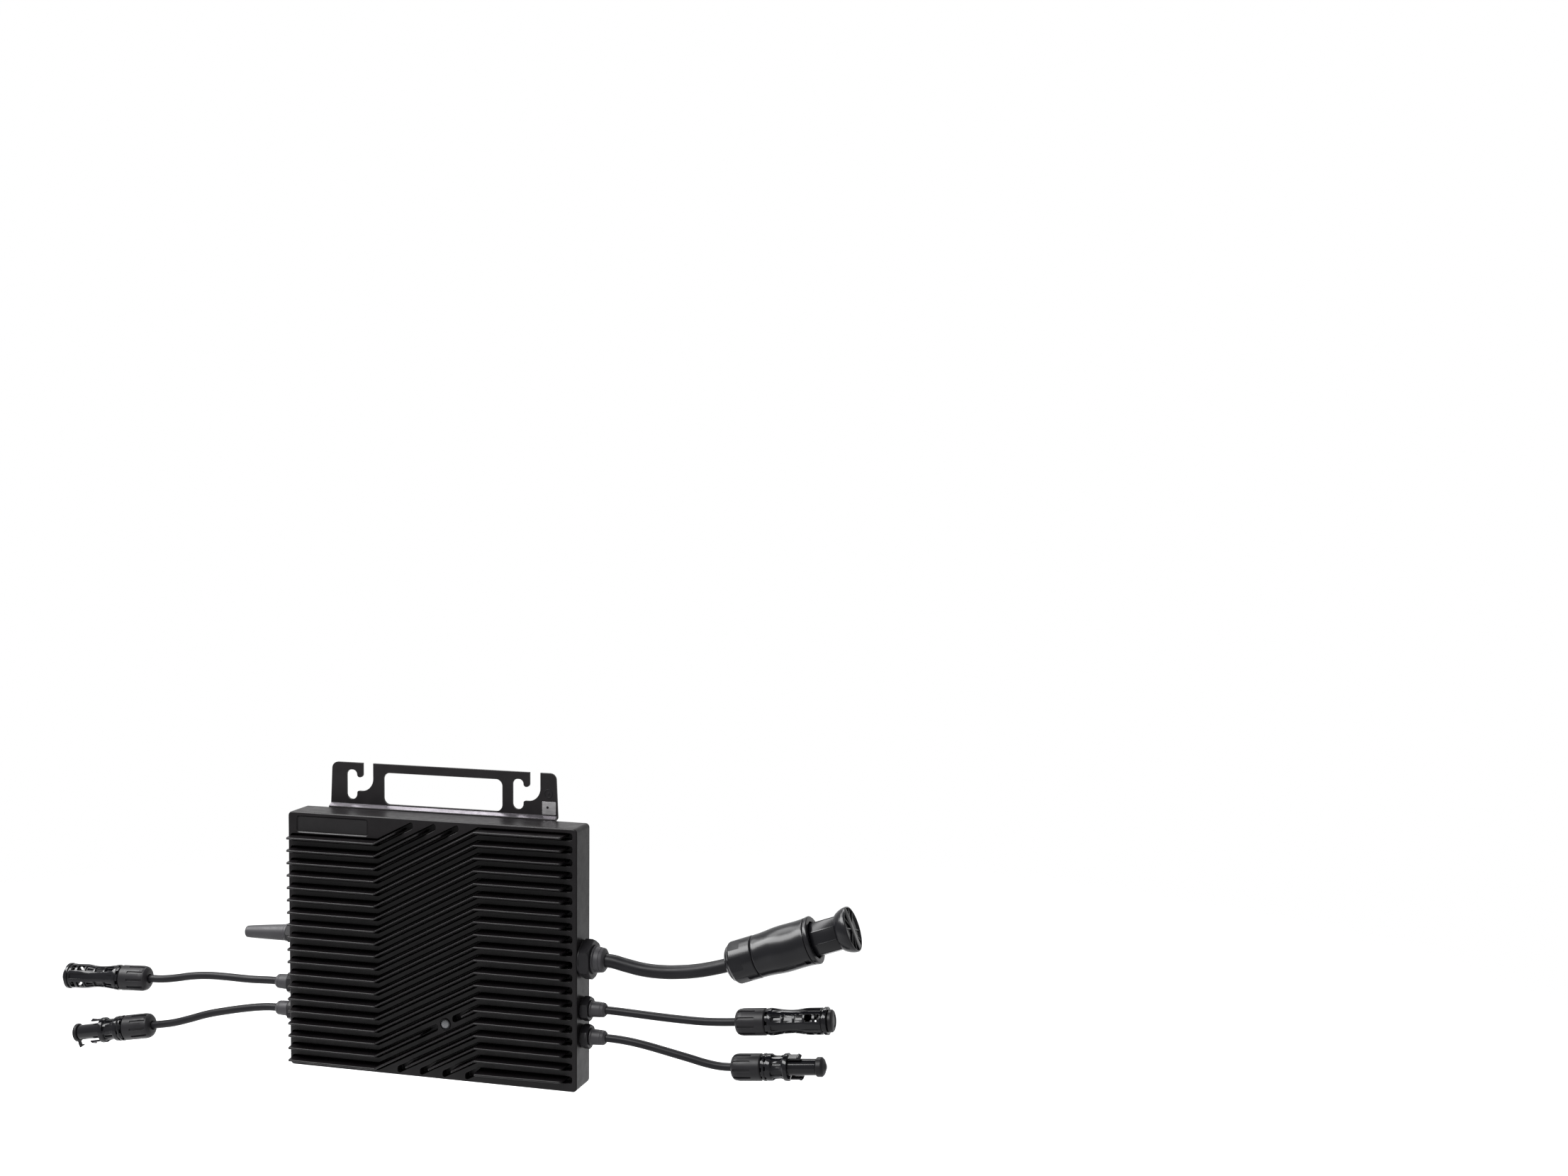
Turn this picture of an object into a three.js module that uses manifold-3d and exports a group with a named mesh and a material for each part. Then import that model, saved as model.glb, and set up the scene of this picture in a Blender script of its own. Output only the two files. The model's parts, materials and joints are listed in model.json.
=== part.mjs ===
// Two-input micro inverter with a finned front, a hook bracket, four solar leads and one grid lead.
//
// Units are millimetres, +Z is up, the finned front faces -Y and the bracket hangs by its rear face,
// which faces +Y. The origin is on that rear face, at the middle of the bracket's top bar.
//
// Inside the model the housing has its own frame: x from its middle, y from its mid-depth, z from
// its underside. ORIGIN moves that frame to the hanging face.

import * as THREE from 'three';
import { mergeVertices } from 'three/addons/utils/BufferGeometryUtils.js';
import Module from 'manifold-3d';

const wasm = await Module();
wasm.setup();

// ---------------------------------------------------------------- driving dimensions

const WIDTH = 230;
const HEIGHT = 192;
const FRONT_Y = -13;
const BACK_Y = 13;
const CORNER = 3;
const EDGE = 1;
const GAP = 0.3;

// Cooling fins: thin zigzag fins that stand in slots cut into the front.
const FIN_PITCH = 9.327;
const FIN_THICK = 1.5;
const FIN_TIP_Y = -21;
const SLOT_HALF = 2.62;
const SLOT_END_R = 1.6;
const SLOT_FLOOR_Y = -6;
const SLOT_LEFT_X = -113;
const SLOT_RIGHT_X = 111.5;
const FIN_LEFT_X = -113.6;
const FIN_RIGHT_X = 106.5;
const KNEE_LEFT_X = -41.7;
const KNEE_RIGHT_X = 38.3;
const LEFT_TOP_Z = 173;
const RISE_ROWS = 3;
const RIGHT_TOP_Z = 186.2;
const RAMP_TOP_Z = 187.6;
const RAMP_FOOT_Z = 3.6;
const LEFT_ROWS = 19;
const RIGHT_ROWS = 20;
const FIN_SHORT = 9;

// Status light in a boss that interrupts one fin.
const LIGHT = [12, 41.4];
const LIGHT_ROW = 17;
const BOSS_HALF_X = 5.9;
const LENS_R = 3.3;
const RING_R = 4.3;

// Blank rating plate in its recess.
const PLATE_X = [-108.1, -49.3];
const PLATE_Z = [176.6, 189.4];
const PLATE_DEEP = 0.9;

// Cavity, cover and seal.
const CAVITY_FRONT_Y = -4.2;
const CAVITY_X = 109;
const CAVITY_Z = [6, 186];
const COVER_X = 111.6;
const COVER_Z = [3.4, 188.6];
const COVER_SEAT_Y = 10;
const COVER_Y = [11.3, 13];
const SEAL_Y = [10.3, 11];

// Sheet-metal hook bracket.
const SHEET = 2;
const HANG_Y = 19;
const LEG_Y = 13.4;
const BRACKET_TOP_Z = 225.9;
const BRACKET_LEG_Z = 165;
const BRACKET_X = [-95.8, 88.2];
const BRACKET_TAPER = 1.5;
const JOGGLE_Z = [192.6, 194.6];
const WINDOW_X = [-51.9, 44.4];
const WINDOW_Z = [195.6, 219.4];
const WINDOW_R = 5;
const HOOK_X = [-82.5, 52.5];

// Where the leads leave the housing, as heights above its underside, at mid-depth.
const GRID_Z = 95.2;
const UPPER_Z = 58.7;
const LOWER_Z = 38.2;
const ANTENNA_Z = 97;

const ORIGIN = new THREE.Vector3(0, HANG_Y, 222.7);

// ---------------------------------------------------------------- materials

const finish = {
  castBlack: [0x1d1c1d, 0.55, 0.35],
  sheetBlack: [0x201e20, 0.6, 0.3],
  plasticBlack: [0x161617, 0.38, 0],
  plasticMatt: [0x1c1c1d, 0.6, 0],
  rubberBlack: [0x121212, 0.8, 0],
  sheath: [0x17171a, 0.55, 0],
  zinc: [0xb9bcc0, 0.35, 0.9],
  bareSheet: [0xc9cac8, 0.4, 0.85],
  lens: [0x8d8f92, 0.25, 0],
  board: [0x1f5a35, 0.5, 0],
  ferrite: [0x2b2b2e, 0.7, 0.1],
  copper: [0xb06a35, 0.4, 0.9],
  can: [0x27282c, 0.35, 0.1],
};

function material([colour, roughness, metalness]) {
  return new THREE.MeshStandardMaterial({ color: colour, roughness, metalness });
}

// ---------------------------------------------------------------- geometry helpers

function weld(geometry) {
  const bare = geometry.clone();
  bare.deleteAttribute('normal');
  bare.deleteAttribute('uv');
  return mergeVertices(bare, 1e-4);
}

function solid(geometry) {
  const welded = weld(geometry);
  const corners = welded.index.array;
  const kept = [];
  for (let i = 0; i < corners.length; i += 3) {
    const [a, b, c] = [corners[i], corners[i + 1], corners[i + 2]];
    if (a !== b && b !== c && c !== a) kept.push(a, b, c);
  }
  const vertProperties = new Float32Array(welded.attributes.position.array);
  const mesh = new wasm.Mesh({ numProp: 3, vertProperties, triVerts: new Uint32Array(kept) });
  return new wasm.Manifold(mesh);
}

function geometryOf(body) {
  const { vertProperties, triVerts } = body.getMesh();
  const geometry = new THREE.BufferGeometry();
  geometry.setAttribute('position', new THREE.BufferAttribute(new Float32Array(vertProperties), 3));
  geometry.setIndex(new THREE.BufferAttribute(new Uint32Array(triVerts), 1));
  geometry.computeVertexNormals();
  return geometry;
}

function cut(body, ...tools) {
  return tools.reduce((left, tool) => left.subtract(tool), body);
}

function join(first, ...others) {
  return others.reduce((sum, other) => sum.add(other), first);
}

function block(x0, x1, y0, y1, z0, z1) {
  const box = new THREE.BoxGeometry(x1 - x0, y1 - y0, z1 - z0);
  box.translate((x0 + x1) / 2, (y0 + y1) / 2, (z0 + z1) / 2);
  return solid(box);
}

// An x-z outline pushed through from y0 to y1.
function plate(shape, y0, y1, options = {}) {
  const slab = new THREE.ExtrudeGeometry(shape, { depth: y1 - y0, bevelEnabled: false, ...options });
  slab.rotateX(Math.PI / 2);
  slab.translate(0, y1, 0);
  return solid(slab);
}

function roundedRectangle(x0, x1, z0, z1, radius) {
  const shape = new THREE.Shape();
  shape.absarc(x1 - radius, z1 - radius, radius, 0, Math.PI / 2);
  shape.absarc(x0 + radius, z1 - radius, radius, Math.PI / 2, Math.PI);
  shape.absarc(x0 + radius, z0 + radius, radius, Math.PI, 1.5 * Math.PI);
  shape.absarc(x1 - radius, z0 + radius, radius, 1.5 * Math.PI, 2 * Math.PI);
  return shape;
}

// A solid of revolution about +X. The profile is [s, r] pairs from the axis back to the axis.
function revolve(profile, sides = 16) {
  const points = profile.map(([s, r]) => new THREE.Vector2(r, s));
  const lathe = new THREE.LatheGeometry(points, sides);
  lathe.rotateZ(-Math.PI / 2);
  return solid(lathe);
}

function rod(s0, s1, radius, sides = 14) {
  return revolve([[s0, 0], [s0, radius], [s1, radius], [s1, 0]], sides);
}

// A rod along +Y, for screws and holes in the front and back.
function pin(x, z, y0, y1, radius, sides = 12) {
  const shank = new THREE.CylinderGeometry(radius, radius, y1 - y0, sides);
  shank.translate(x, (y0 + y1) / 2, z);
  return solid(shank);
}

// A prism with flat sides about +X, for hexagons and faceted nuts.
function prism(s0, s1, acrossCorners, sides, turn = 0) {
  const bar = new THREE.CylinderGeometry(acrossCorners / 2, acrossCorners / 2, s1 - s0, sides);
  bar.rotateY(turn);
  bar.rotateZ(-Math.PI / 2);
  bar.translate((s0 + s1) / 2, 0, 0);
  return solid(bar);
}

const model = new THREE.Group();

// Sub-parts in the housing's frame.
const inverter = new THREE.Group();
inverter.position.copy(ORIGIN).negate();
model.add(inverter);

function add(name, body, look, parent = inverter) {
  const mesh = new THREE.Mesh(geometryOf(body), material(look));
  mesh.name = name;
  parent.add(mesh);
  return mesh;
}

// ---------------------------------------------------------------- fins and slots

// The outline of a fin or slot: a zigzag of constant height, with its end corners rounded.
function zigzag(points, half, radius) {
  const low = points.map(([x, z]) => new THREE.Vector2(x, z - half));
  const high = points.map(([x, z]) => new THREE.Vector2(x, z + half)).reverse();
  const corners = [...low, ...high];
  const shape = new THREE.Shape();
  corners.forEach((corner, i) => {
    const before = corners[(i + corners.length - 1) % corners.length];
    const after = corners[(i + 1) % corners.length];
    const isEnd = i === 0 || i === low.length - 1 || i === low.length || i === corners.length - 1;
    const from = before.clone().sub(corner).setLength(isEnd ? radius : 0).add(corner);
    const to = after.clone().sub(corner).setLength(isEnd ? radius : 0).add(corner);
    if (i === 0) shape.moveTo(from.x, from.y);
    else shape.lineTo(from.x, from.y);
    if (isEnd) shape.quadraticCurveTo(corner.x, corner.y, to.x, to.y);
  });
  return shape;
}

const slope = (RIGHT_TOP_Z + RISE_ROWS * FIN_PITCH - LEFT_TOP_Z) / (KNEE_RIGHT_X - KNEE_LEFT_X);

// The centre line of a left row k and the right row it climbs to, as [x, z] points.
function rowLine(k) {
  const leftZ = LEFT_TOP_Z - k * FIN_PITCH;
  const rightZ = leftZ + slope * (KNEE_RIGHT_X - KNEE_LEFT_X);
  const points = [];
  if (k < LEFT_ROWS) points.push([SLOT_LEFT_X, leftZ], [KNEE_LEFT_X, leftZ]);
  else points.push([KNEE_RIGHT_X - (rightZ - RAMP_FOOT_Z) / slope, RAMP_FOOT_Z]);
  if (k >= RISE_ROWS) points.push([KNEE_RIGHT_X, rightZ], [SLOT_RIGHT_X, rightZ]);
  else points.push([KNEE_LEFT_X + (RAMP_TOP_Z - leftZ) / slope, RAMP_TOP_Z]);
  return points;
}

function pointAt(line, x) {
  const i = Math.max(1, line.findIndex((point) => point[0] >= x));
  const [[x0, z0], [x1, z1]] = [line[i - 1], line[i]];
  return [x, z0 + ((x - x0) * (z1 - z0)) / (x1 - x0)];
}

// The part of a line between two x values.
function between(line, x0, x1) {
  const inner = line.filter((point) => point[0] > x0 + 0.01 && point[0] < x1 - 0.01);
  return [pointAt(line, x0), ...inner, pointAt(line, x1)];
}

// Every slot's centre line, and its fin's, which stops short of the slot's free ends.
function rows() {
  const found = [];
  for (let k = 0; k < RIGHT_ROWS + RISE_ROWS; k += 1) {
    const line = rowLine(k);
    const start = line[0][0];
    const end = line[line.length - 1][0];
    const finStart = k < LEFT_ROWS ? start : start + FIN_SHORT;
    const finEnd = k < RISE_ROWS ? end - FIN_SHORT : FIN_RIGHT_X;
    if (k === LIGHT_ROW) {
      const [left, right] = [LIGHT[0] - BOSS_HALF_X, LIGHT[0] + BOSS_HALF_X];
      found.push({ slot: between(line, start, left), fin: between(line, start, left - FIN_SHORT) });
      found.push({ slot: between(line, right, end), fin: between(line, right + FIN_SHORT, finEnd) });
    } else {
      found.push({ slot: line, fin: between(line, finStart, finEnd) });
    }
  }
  for (const { fin } of found) if (fin[0][0] === SLOT_LEFT_X) fin[0] = [FIN_LEFT_X, fin[0][1]];
  return found;
}

// ---------------------------------------------------------------- housing

// Cover screws: the upper pair also holds the bracket's leg. Each is [x, z, face it bears on].
const SCREWS = {
  screw_upper_left: [-84, 181, LEG_Y + SHEET],
  screw_upper_right: [76, 181, LEG_Y + SHEET],
  screw_lower_left: [-105, 10.5, COVER_Y[1]],
  screw_lower_right: [105, 10.5, COVER_Y[1]],
};
const SCREW_PLACES = Object.values(SCREWS);
const SCREW_R = 1.4;
const SCREW_HOLE_R = 1.8;
const SCREW_END_Y = 4;
const SCREW_HEAD = { r: 3, tall: 1.6, cross: 1.7 };
const BOSS_R = 4.2;

const GRID_HOLE_R = 8.2;
const LEAD_HOLE_R = 4.8;
const BORE_CLEAR = 0.4;

function sideHole(x0, x1, z, radius) {
  return rod(x0, x1, radius).translate([0, 0, z]);
}

const BEVEL = {
  bevelEnabled: true,
  bevelThickness: EDGE,
  bevelSize: EDGE,
  bevelOffset: -EDGE,
  bevelSegments: 1,
};

function finSlot({ slot }) {
  return plate(zigzag(slot, SLOT_HALF, SLOT_END_R), FRONT_Y - 1, SLOT_FLOOR_Y, { curveSegments: 2 });
}

// A fin is rooted a little below the slot's floor.
function finWall({ fin }) {
  return plate(zigzag(fin, FIN_THICK / 2, 0.3), FIN_TIP_Y, SLOT_FLOOR_Y + 0.6, { curveSegments: 1 });
}

function housing() {
  const outline = roundedRectangle(-WIDTH / 2, WIDTH / 2, 0, HEIGHT, CORNER);
  const shell = plate(outline, FRONT_Y + EDGE, BACK_Y - EDGE, { ...BEVEL, curveSegments: 3 });
  const slots = rows().map(finSlot);
  const fins = rows().map(finWall);
  const cavity = block(-CAVITY_X, CAVITY_X, CAVITY_FRONT_Y, BACK_Y + 1, ...CAVITY_Z);
  const seat = block(-COVER_X, COVER_X, COVER_SEAT_Y, BACK_Y + 1, ...COVER_Z);
  const bosses = SCREW_PLACES.map(([x, z]) => pin(x, z, CAVITY_FRONT_Y - 1, COVER_SEAT_Y, BOSS_R));
  const threads = SCREW_PLACES.map(([x, z]) => pin(x, z, 2, BACK_Y + 1, SCREW_HOLE_R));
  const recessShape = roundedRectangle(...PLATE_X, ...PLATE_Z, 2);
  const recess = plate(recessShape, FRONT_Y - 1, FRONT_Y + PLATE_DEEP, { curveSegments: 3 });
  const ring = pin(LIGHT[0], LIGHT[1], FRONT_Y - 0.8, FRONT_Y + 1, RING_R, 20);
  const well = pin(LIGHT[0], LIGHT[1], FRONT_Y - 2, CAVITY_FRONT_Y + 1, LENS_R + GAP, 16);
  const [inner, outer] = [CAVITY_X - 2, WIDTH / 2 + 1];
  const holes = [
    sideHole(inner, outer, GRID_Z, GRID_HOLE_R),
    sideHole(inner, outer, UPPER_Z, LEAD_HOLE_R),
    sideHole(inner, outer, LOWER_Z, LEAD_HOLE_R),
    sideHole(-outer, -inner, ANTENNA_Z, LEAD_HOLE_R),
    sideHole(-outer, -inner, UPPER_Z, LEAD_HOLE_R),
    sideHole(-outer, -inner, LOWER_Z, LEAD_HOLE_R),
  ];
  const hollow = join(cut(shell, cavity), ...bosses);
  return cut(join(cut(hollow, seat, recess, ...slots), ...fins, ring), well, ...threads, ...holes);
}

function ratingPlate() {
  const inset = [PLATE_X[0] + GAP, PLATE_X[1] - GAP, PLATE_Z[0] + GAP, PLATE_Z[1] - GAP];
  const depth = [FRONT_Y + 0.1, FRONT_Y + PLATE_DEEP - GAP];
  return plate(roundedRectangle(...inset, 2 - GAP), ...depth, { curveSegments: 3 });
}

function backCover() {
  const [x, z0, z1] = [COVER_X - GAP, COVER_Z[0] + GAP, COVER_Z[1] - GAP];
  const sheet = block(-x, x, ...COVER_Y, z0, z1);
  const holes = SCREW_PLACES.map(([hx, hz]) => pin(hx, hz, COVER_Y[0] - 1, COVER_Y[1] + 1, SCREW_HOLE_R));
  return cut(sheet, ...holes);
}

function coverSeal() {
  const ring = block(-COVER_X + 0.4, COVER_X - 0.4, ...SEAL_Y, COVER_Z[0] + 0.4, COVER_Z[1] - 0.4);
  return cut(ring, block(-CAVITY_X, CAVITY_X, SEAL_Y[0] - 1, SEAL_Y[1] + 1, ...CAVITY_Z));
}

// A pan-head screw driven from behind, with a cross recess, that reaches into the housing's boss.
function panScrew(x, z, faceY) {
  const seatY = faceY + GAP;
  const head = pin(x, z, seatY, seatY + SCREW_HEAD.tall, SCREW_HEAD.r, 14);
  const shank = pin(x, z, SCREW_END_Y, seatY + 0.2, SCREW_R, 8);
  const [long, wide] = [SCREW_HEAD.cross, SCREW_HEAD.cross / 5];
  const deep = [seatY + SCREW_HEAD.tall / 2, seatY + SCREW_HEAD.tall + 1];
  const across = block(x - long, x + long, ...deep, z - wide, z + wide);
  const upright = block(x - wide, x + wide, ...deep, z - long, z + long);
  return cut(join(head, shank), across, upright);
}

// ---------------------------------------------------------------- hook bracket

// One hook slot: a keyhole, a tongue beside it and an entry from the top that curves into the keyhole.
// Its x values are measured from the keyhole's left side.
const HOOK = {
  keyWide: 8.7,
  keyZ: [198.1, 220.5],
  entryX: [13.5, 22],
  tongueEndZ: 215.1,
  sweepX: 11.9,
  sweepZ: 214.4,
  sweepR: 9.8,
};
const THROUGH_BRACKET_Y = [LEG_Y - 2, HANG_Y + 2];

function hookSlot(x) {
  const keyhole = roundedRectangle(x, x + HOOK.keyWide, ...HOOK.keyZ, HOOK.keyWide / 2);
  const [entryX0, entryX1] = HOOK.entryX.map((offset) => x + offset);
  const entry = roundedRectangle(entryX0, entryX1, HOOK.sweepZ, BRACKET_TOP_Z + 4, 1);
  const insideX = x + HOOK.keyWide - 1.5;
  const sweepFloorZ = HOOK.sweepZ - HOOK.sweepR;
  const sweep = new THREE.Shape();
  sweep.moveTo(insideX, HOOK.tongueEndZ);
  sweep.lineTo(insideX, sweepFloorZ);
  sweep.lineTo(x + HOOK.sweepX, sweepFloorZ);
  sweep.absellipse(x + HOOK.sweepX, HOOK.sweepZ, HOOK.entryX[1] - HOOK.sweepX, HOOK.sweepR, -Math.PI / 2, 0);
  sweep.lineTo(entryX1, HOOK.sweepZ + 3);
  sweep.lineTo(entryX0 + 0.1, HOOK.sweepZ + 3);
  sweep.quadraticCurveTo(entryX0 - 0.9, HOOK.tongueEndZ, entryX0 - 2.5, HOOK.tongueEndZ);
  return [keyhole, entry, sweep].map((shape) => plate(shape, ...THROUGH_BRACKET_Y, { curveSegments: 5 }));
}

// The sheet's section: a leg against the housing's back, a joggle to the rear and the hanging plate.
function bracketSheet() {
  const [foot, head] = JOGGLE_Z;
  const rearDrop = 1.4;
  const section = new THREE.Shape();
  const frontY = HANG_Y - SHEET;
  section.moveTo(LEG_Y, BRACKET_LEG_Z);
  section.lineTo(LEG_Y + SHEET, BRACKET_LEG_Z);
  section.lineTo(LEG_Y + SHEET, foot - rearDrop);
  section.lineTo(HANG_Y, head - rearDrop);
  section.lineTo(HANG_Y, BRACKET_TOP_Z);
  section.lineTo(frontY, BRACKET_TOP_Z);
  section.lineTo(frontY, head);
  section.lineTo(LEG_Y, foot);
  const long = BRACKET_X[1] - BRACKET_X[0];
  const sweep = new THREE.ExtrudeGeometry(section, { depth: long, bevelEnabled: false });
  sweep.rotateX(Math.PI / 2);
  sweep.rotateZ(Math.PI / 2);
  sweep.translate(BRACKET_X[0], 0, 0);
  return solid(sweep);
}

// The bracket seen from the front: square-sided leg, sides that taper upwards, rounded top corners.
function bracketOutline() {
  const [x0, x1] = BRACKET_X;
  const foot = JOGGLE_Z[0];
  const radius = 5;
  const shape = new THREE.Shape();
  shape.moveTo(x0 + radius, BRACKET_LEG_Z);
  shape.lineTo(x1 - radius, BRACKET_LEG_Z);
  shape.quadraticCurveTo(x1, BRACKET_LEG_Z, x1, BRACKET_LEG_Z + radius);
  shape.lineTo(x1, foot);
  shape.lineTo(x1 - BRACKET_TAPER, BRACKET_TOP_Z - radius);
  shape.quadraticCurveTo(x1 - BRACKET_TAPER, BRACKET_TOP_Z, x1 - BRACKET_TAPER - radius, BRACKET_TOP_Z);
  shape.lineTo(x0 + BRACKET_TAPER + radius, BRACKET_TOP_Z);
  shape.quadraticCurveTo(x0 + BRACKET_TAPER, BRACKET_TOP_Z, x0 + BRACKET_TAPER, BRACKET_TOP_Z - radius);
  shape.lineTo(x0, foot);
  shape.lineTo(x0, BRACKET_LEG_Z + radius);
  shape.quadraticCurveTo(x0, BRACKET_LEG_Z, x0 + radius, BRACKET_LEG_Z);
  return shape;
}

function bracket() {
  const outline = plate(bracketOutline(), ...THROUGH_BRACKET_Y, { curveSegments: 4 });
  const windowShape = roundedRectangle(...WINDOW_X, ...WINDOW_Z, WINDOW_R);
  const window = plate(windowShape, ...THROUGH_BRACKET_Y, { curveSegments: 4 });
  const hooks = HOOK_X.flatMap(hookSlot);
  const holes = SCREW_PLACES.map(([x, z]) => pin(x, z, ...THROUGH_BRACKET_Y, SCREW_HOLE_R));
  return cut(bracketSheet().intersect(outline), window, ...hooks, ...holes);
}

// Bare patch for the earth terminal, on the bracket's right ear.
function earthPad() {
  const frontY = HANG_Y - SHEET;
  const pad = block(76, 87, frontY - 0.9, frontY - GAP, 195.2, 205);
  return cut(pad, pin(80.4, 200.6, frontY - 2, frontY + 1, 0.9, 10));
}

add('housing', housing(), finish.castBlack);
add('rating_plate', ratingPlate(), finish.plasticMatt);
add('status_lens', pin(LIGHT[0], LIGHT[1], FRONT_Y - 0.5, CAVITY_FRONT_Y - 0.5, LENS_R, 16), finish.lens);
add('back_cover', backCover(), finish.sheetBlack);
add('cover_seal', coverSeal(), finish.rubberBlack);
add('hook_bracket', bracket(), finish.sheetBlack);
for (const [name, place] of Object.entries(SCREWS)) add(name, panScrew(...place), finish.zinc);
add('earth_pad', earthPad(), finish.bareSheet);

// ---------------------------------------------------------------- electronics in the cavity

const BOARD_Y = [7.4, 9];
const BOARD_HALF_X = 100;
const BOARD_Z = [16, 176];

// Parts stand on the board's front face and reach towards the fins.
function onBoard(x0, x1, z0, z1, tall) {
  return block(x0, x1, BOARD_Y[0] - GAP - tall, BOARD_Y[0] - GAP, z0, z1);
}

// The board, with its screened radio module.
function circuitBoard() {
  const sheet = block(-BOARD_HALF_X, BOARD_HALF_X, ...BOARD_Y, ...BOARD_Z);
  const radio = block(-84, -62, BOARD_Y[0] - 3, BOARD_Y[0] + 0.2, 134, 152);
  return join(sheet, radio);
}

function transformer(x) {
  const [z0, z1] = [60, 98];
  const coil = onBoard(x - 12, x + 12, z0 - 4, z1 + 4, 7);
  return join(onBoard(x - 19, x + 19, z0, z1, 10), coil);
}

// Capacitor cans lying side by side in a shared cradle.
function capacitorBank() {
  const y = BOARD_Y[0] - GAP - 5.2;
  const cans = [-35, -21, -7, 7, 21, 35].map((x) => {
    const can = new THREE.CylinderGeometry(5, 5, 26, 10);
    can.rotateX(Math.PI / 2);
    can.translate(x, y, 34);
    return solid(can);
  });
  return join(onBoard(-41, 41, 24, 36, 4), ...cans);
}

function gridInductor() {
  const core = new THREE.TorusGeometry(11, 4.2, 6, 14);
  core.rotateX(Math.PI / 2);
  core.translate(72, BOARD_Y[0] - GAP - 4.4, 140);
  return solid(core);
}

// Power transistors under one clamp bar.
function powerSwitches() {
  const tabs = [-72, -56, -40, -24, 24, 40, 56, 72].map((x) => onBoard(x - 5, x + 5, 108, 122, 4.4));
  return join(onBoard(-80, 80, 112, 117, 6.4), ...tabs);
}

// A double relay on one base.
function gridRelays() {
  return join(onBoard(28, 43, 132, 152, 9.5), onBoard(8, 23, 132, 152, 9.5), onBoard(8, 43, 134, 150, 2));
}

add('circuit_board', circuitBoard(), finish.board);
add('input_capacitors', capacitorBank(), finish.can);
add('transformer_left', transformer(-32), finish.ferrite);
add('transformer_right', transformer(32), finish.ferrite);
add('grid_inductor', gridInductor(), finish.copper);
add('power_switches', powerSwitches(), finish.plasticMatt);
add('grid_relays', gridRelays(), finish.plasticMatt);

// ---------------------------------------------------------------- leads

// The sheath of a lead: a round tube along a hand-laid route in the housing's frame.
function sheath(route, radius, steps) {
  const points = route.map((point) => new THREE.Vector3(...point));
  const path = new THREE.CatmullRomCurve3(points, false, 'centripetal');
  const section = new THREE.Shape();
  section.absarc(0, 0, radius, 0, 2 * Math.PI);
  return solid(new THREE.ExtrudeGeometry(section, { steps, extrudePath: path, curveSegments: 5 }));
}

// A group whose +X runs along direction from start, with +Z up before it is turned by roll about +X.
function alongAxis(start, direction, roll) {
  const x = new THREE.Vector3(...direction).normalize();
  const y = new THREE.Vector3(0, 0, 1).cross(x).normalize();
  const z = x.clone().cross(y);
  const mount = new THREE.Group();
  mount.position.set(...start);
  mount.quaternion.setFromRotationMatrix(new THREE.Matrix4().makeBasis(x, y, z));
  mount.rotateX(roll);
  inverter.add(mount);
  return mount;
}

// How far a gland's stem reaches in through the wall.
const STEM_REACH = 5.5;

// A gland on a side wall: hexagon, threaded stem through the wall and a soft sleeve.
function gland(name, side, z, hex, hexLong, sleeveR, sleeveEnd, holeR) {
  const wall = WIDTH / 2;
  const base = alongAxis([side * wall, 0, z], [side, 0, 0], 0);
  const stem = rod(-STEM_REACH, GAP + 0.5, holeR - BORE_CLEAR);
  const nut = prism(GAP, GAP + hexLong, hex, 6, Math.PI / 6);
  add(`${name}_gland`, join(nut, stem), finish.plasticMatt, base);
  const s0 = 2 * GAP + hexLong;
  const s1 = sleeveEnd - wall;
  const lip = [[s1 - 2, sleeveR * 0.98], [s1 - 0.6, sleeveR * 0.86], [s1, sleeveR * 0.66]];
  add(`${name}_sleeve`, revolve([[s0, 0], [s0, sleeveR * 1.06], ...lip, [s1, 0]]), finish.rubberBlack, base);
}

// Solar connector, along +X from the rear of its nut.
const NUT_R = 9.6;
const NUT_LONG = 22.6;
const STEM_R = 7.3;
const STEM_S = 4;
const CABLE_R = 2.9;
const CABLE_BORE_R = 3.4;
const SOCKET_R = 6.2;
const SOCKET_FLOOR_S = 40;
const SOCKET_END_S = 67.6;
const BARREL_R = 5.8;
const BARREL_BORE_R = 4;
const BARREL_FLOOR_S = 46;
const BARREL_END_S = 62;
const PLUG_CLEAR = 0.4;
const RIB_COUNT = 10;

function connectorNut() {
  const dome = [[0, 0], [0, 6], [1.2, 7.8], [3.4, 9.1], [6, NUT_R - 0.1]];
  const shell = revolve([...dome, [NUT_LONG, NUT_R], [NUT_LONG, 0]]);
  const bore = rod(STEM_S - GAP, NUT_LONG + 1, STEM_R + BORE_CLEAR);
  const cableBore = rod(-1, STEM_S, CABLE_BORE_R, 16);
  const grooves = Array.from({ length: RIB_COUNT }, (_, i) => {
    const groove = block(2.4, 15.2, -0.5, 0.5, NUT_R - 0.8, NUT_R + 1);
    return groove.rotate([(i * 360) / RIB_COUNT, 0, 0]);
  });
  return cut(shell, bore, cableBore, ...grooves);
}

// The socket's grip has, on each of its four sides, a latch window into the bore and a pocket beyond it.
function socketBody() {
  const profile = [
    [STEM_S, 0], [STEM_S, STEM_R], [22.9, STEM_R], [22.9, 8.5], [24.7, 8.5], [24.7, 9.6],
    [27, 9.6], [33, 8.6], [39, 8], [46, 8.4], [51.5, 9.3], [65.2, 9.4],
    [65.2, 9.8], [SOCKET_END_S, 9.8], [SOCKET_END_S, 0],
  ];
  const sides = [0, 90, 180, 270].flatMap((turn) => [
    block(52.2, 57.4, -2.7, 2.7, SOCKET_R - 1.2, 11).rotate([turn, 0, 0]),
    block(59.5, 62.6, -2.7, 2.7, SOCKET_R + 1.2, 11).rotate([turn, 0, 0]),
  ]);
  return cut(revolve(profile), rod(SOCKET_FLOOR_S, SOCKET_END_S + 1, SOCKET_R), ...sides);
}

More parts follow.
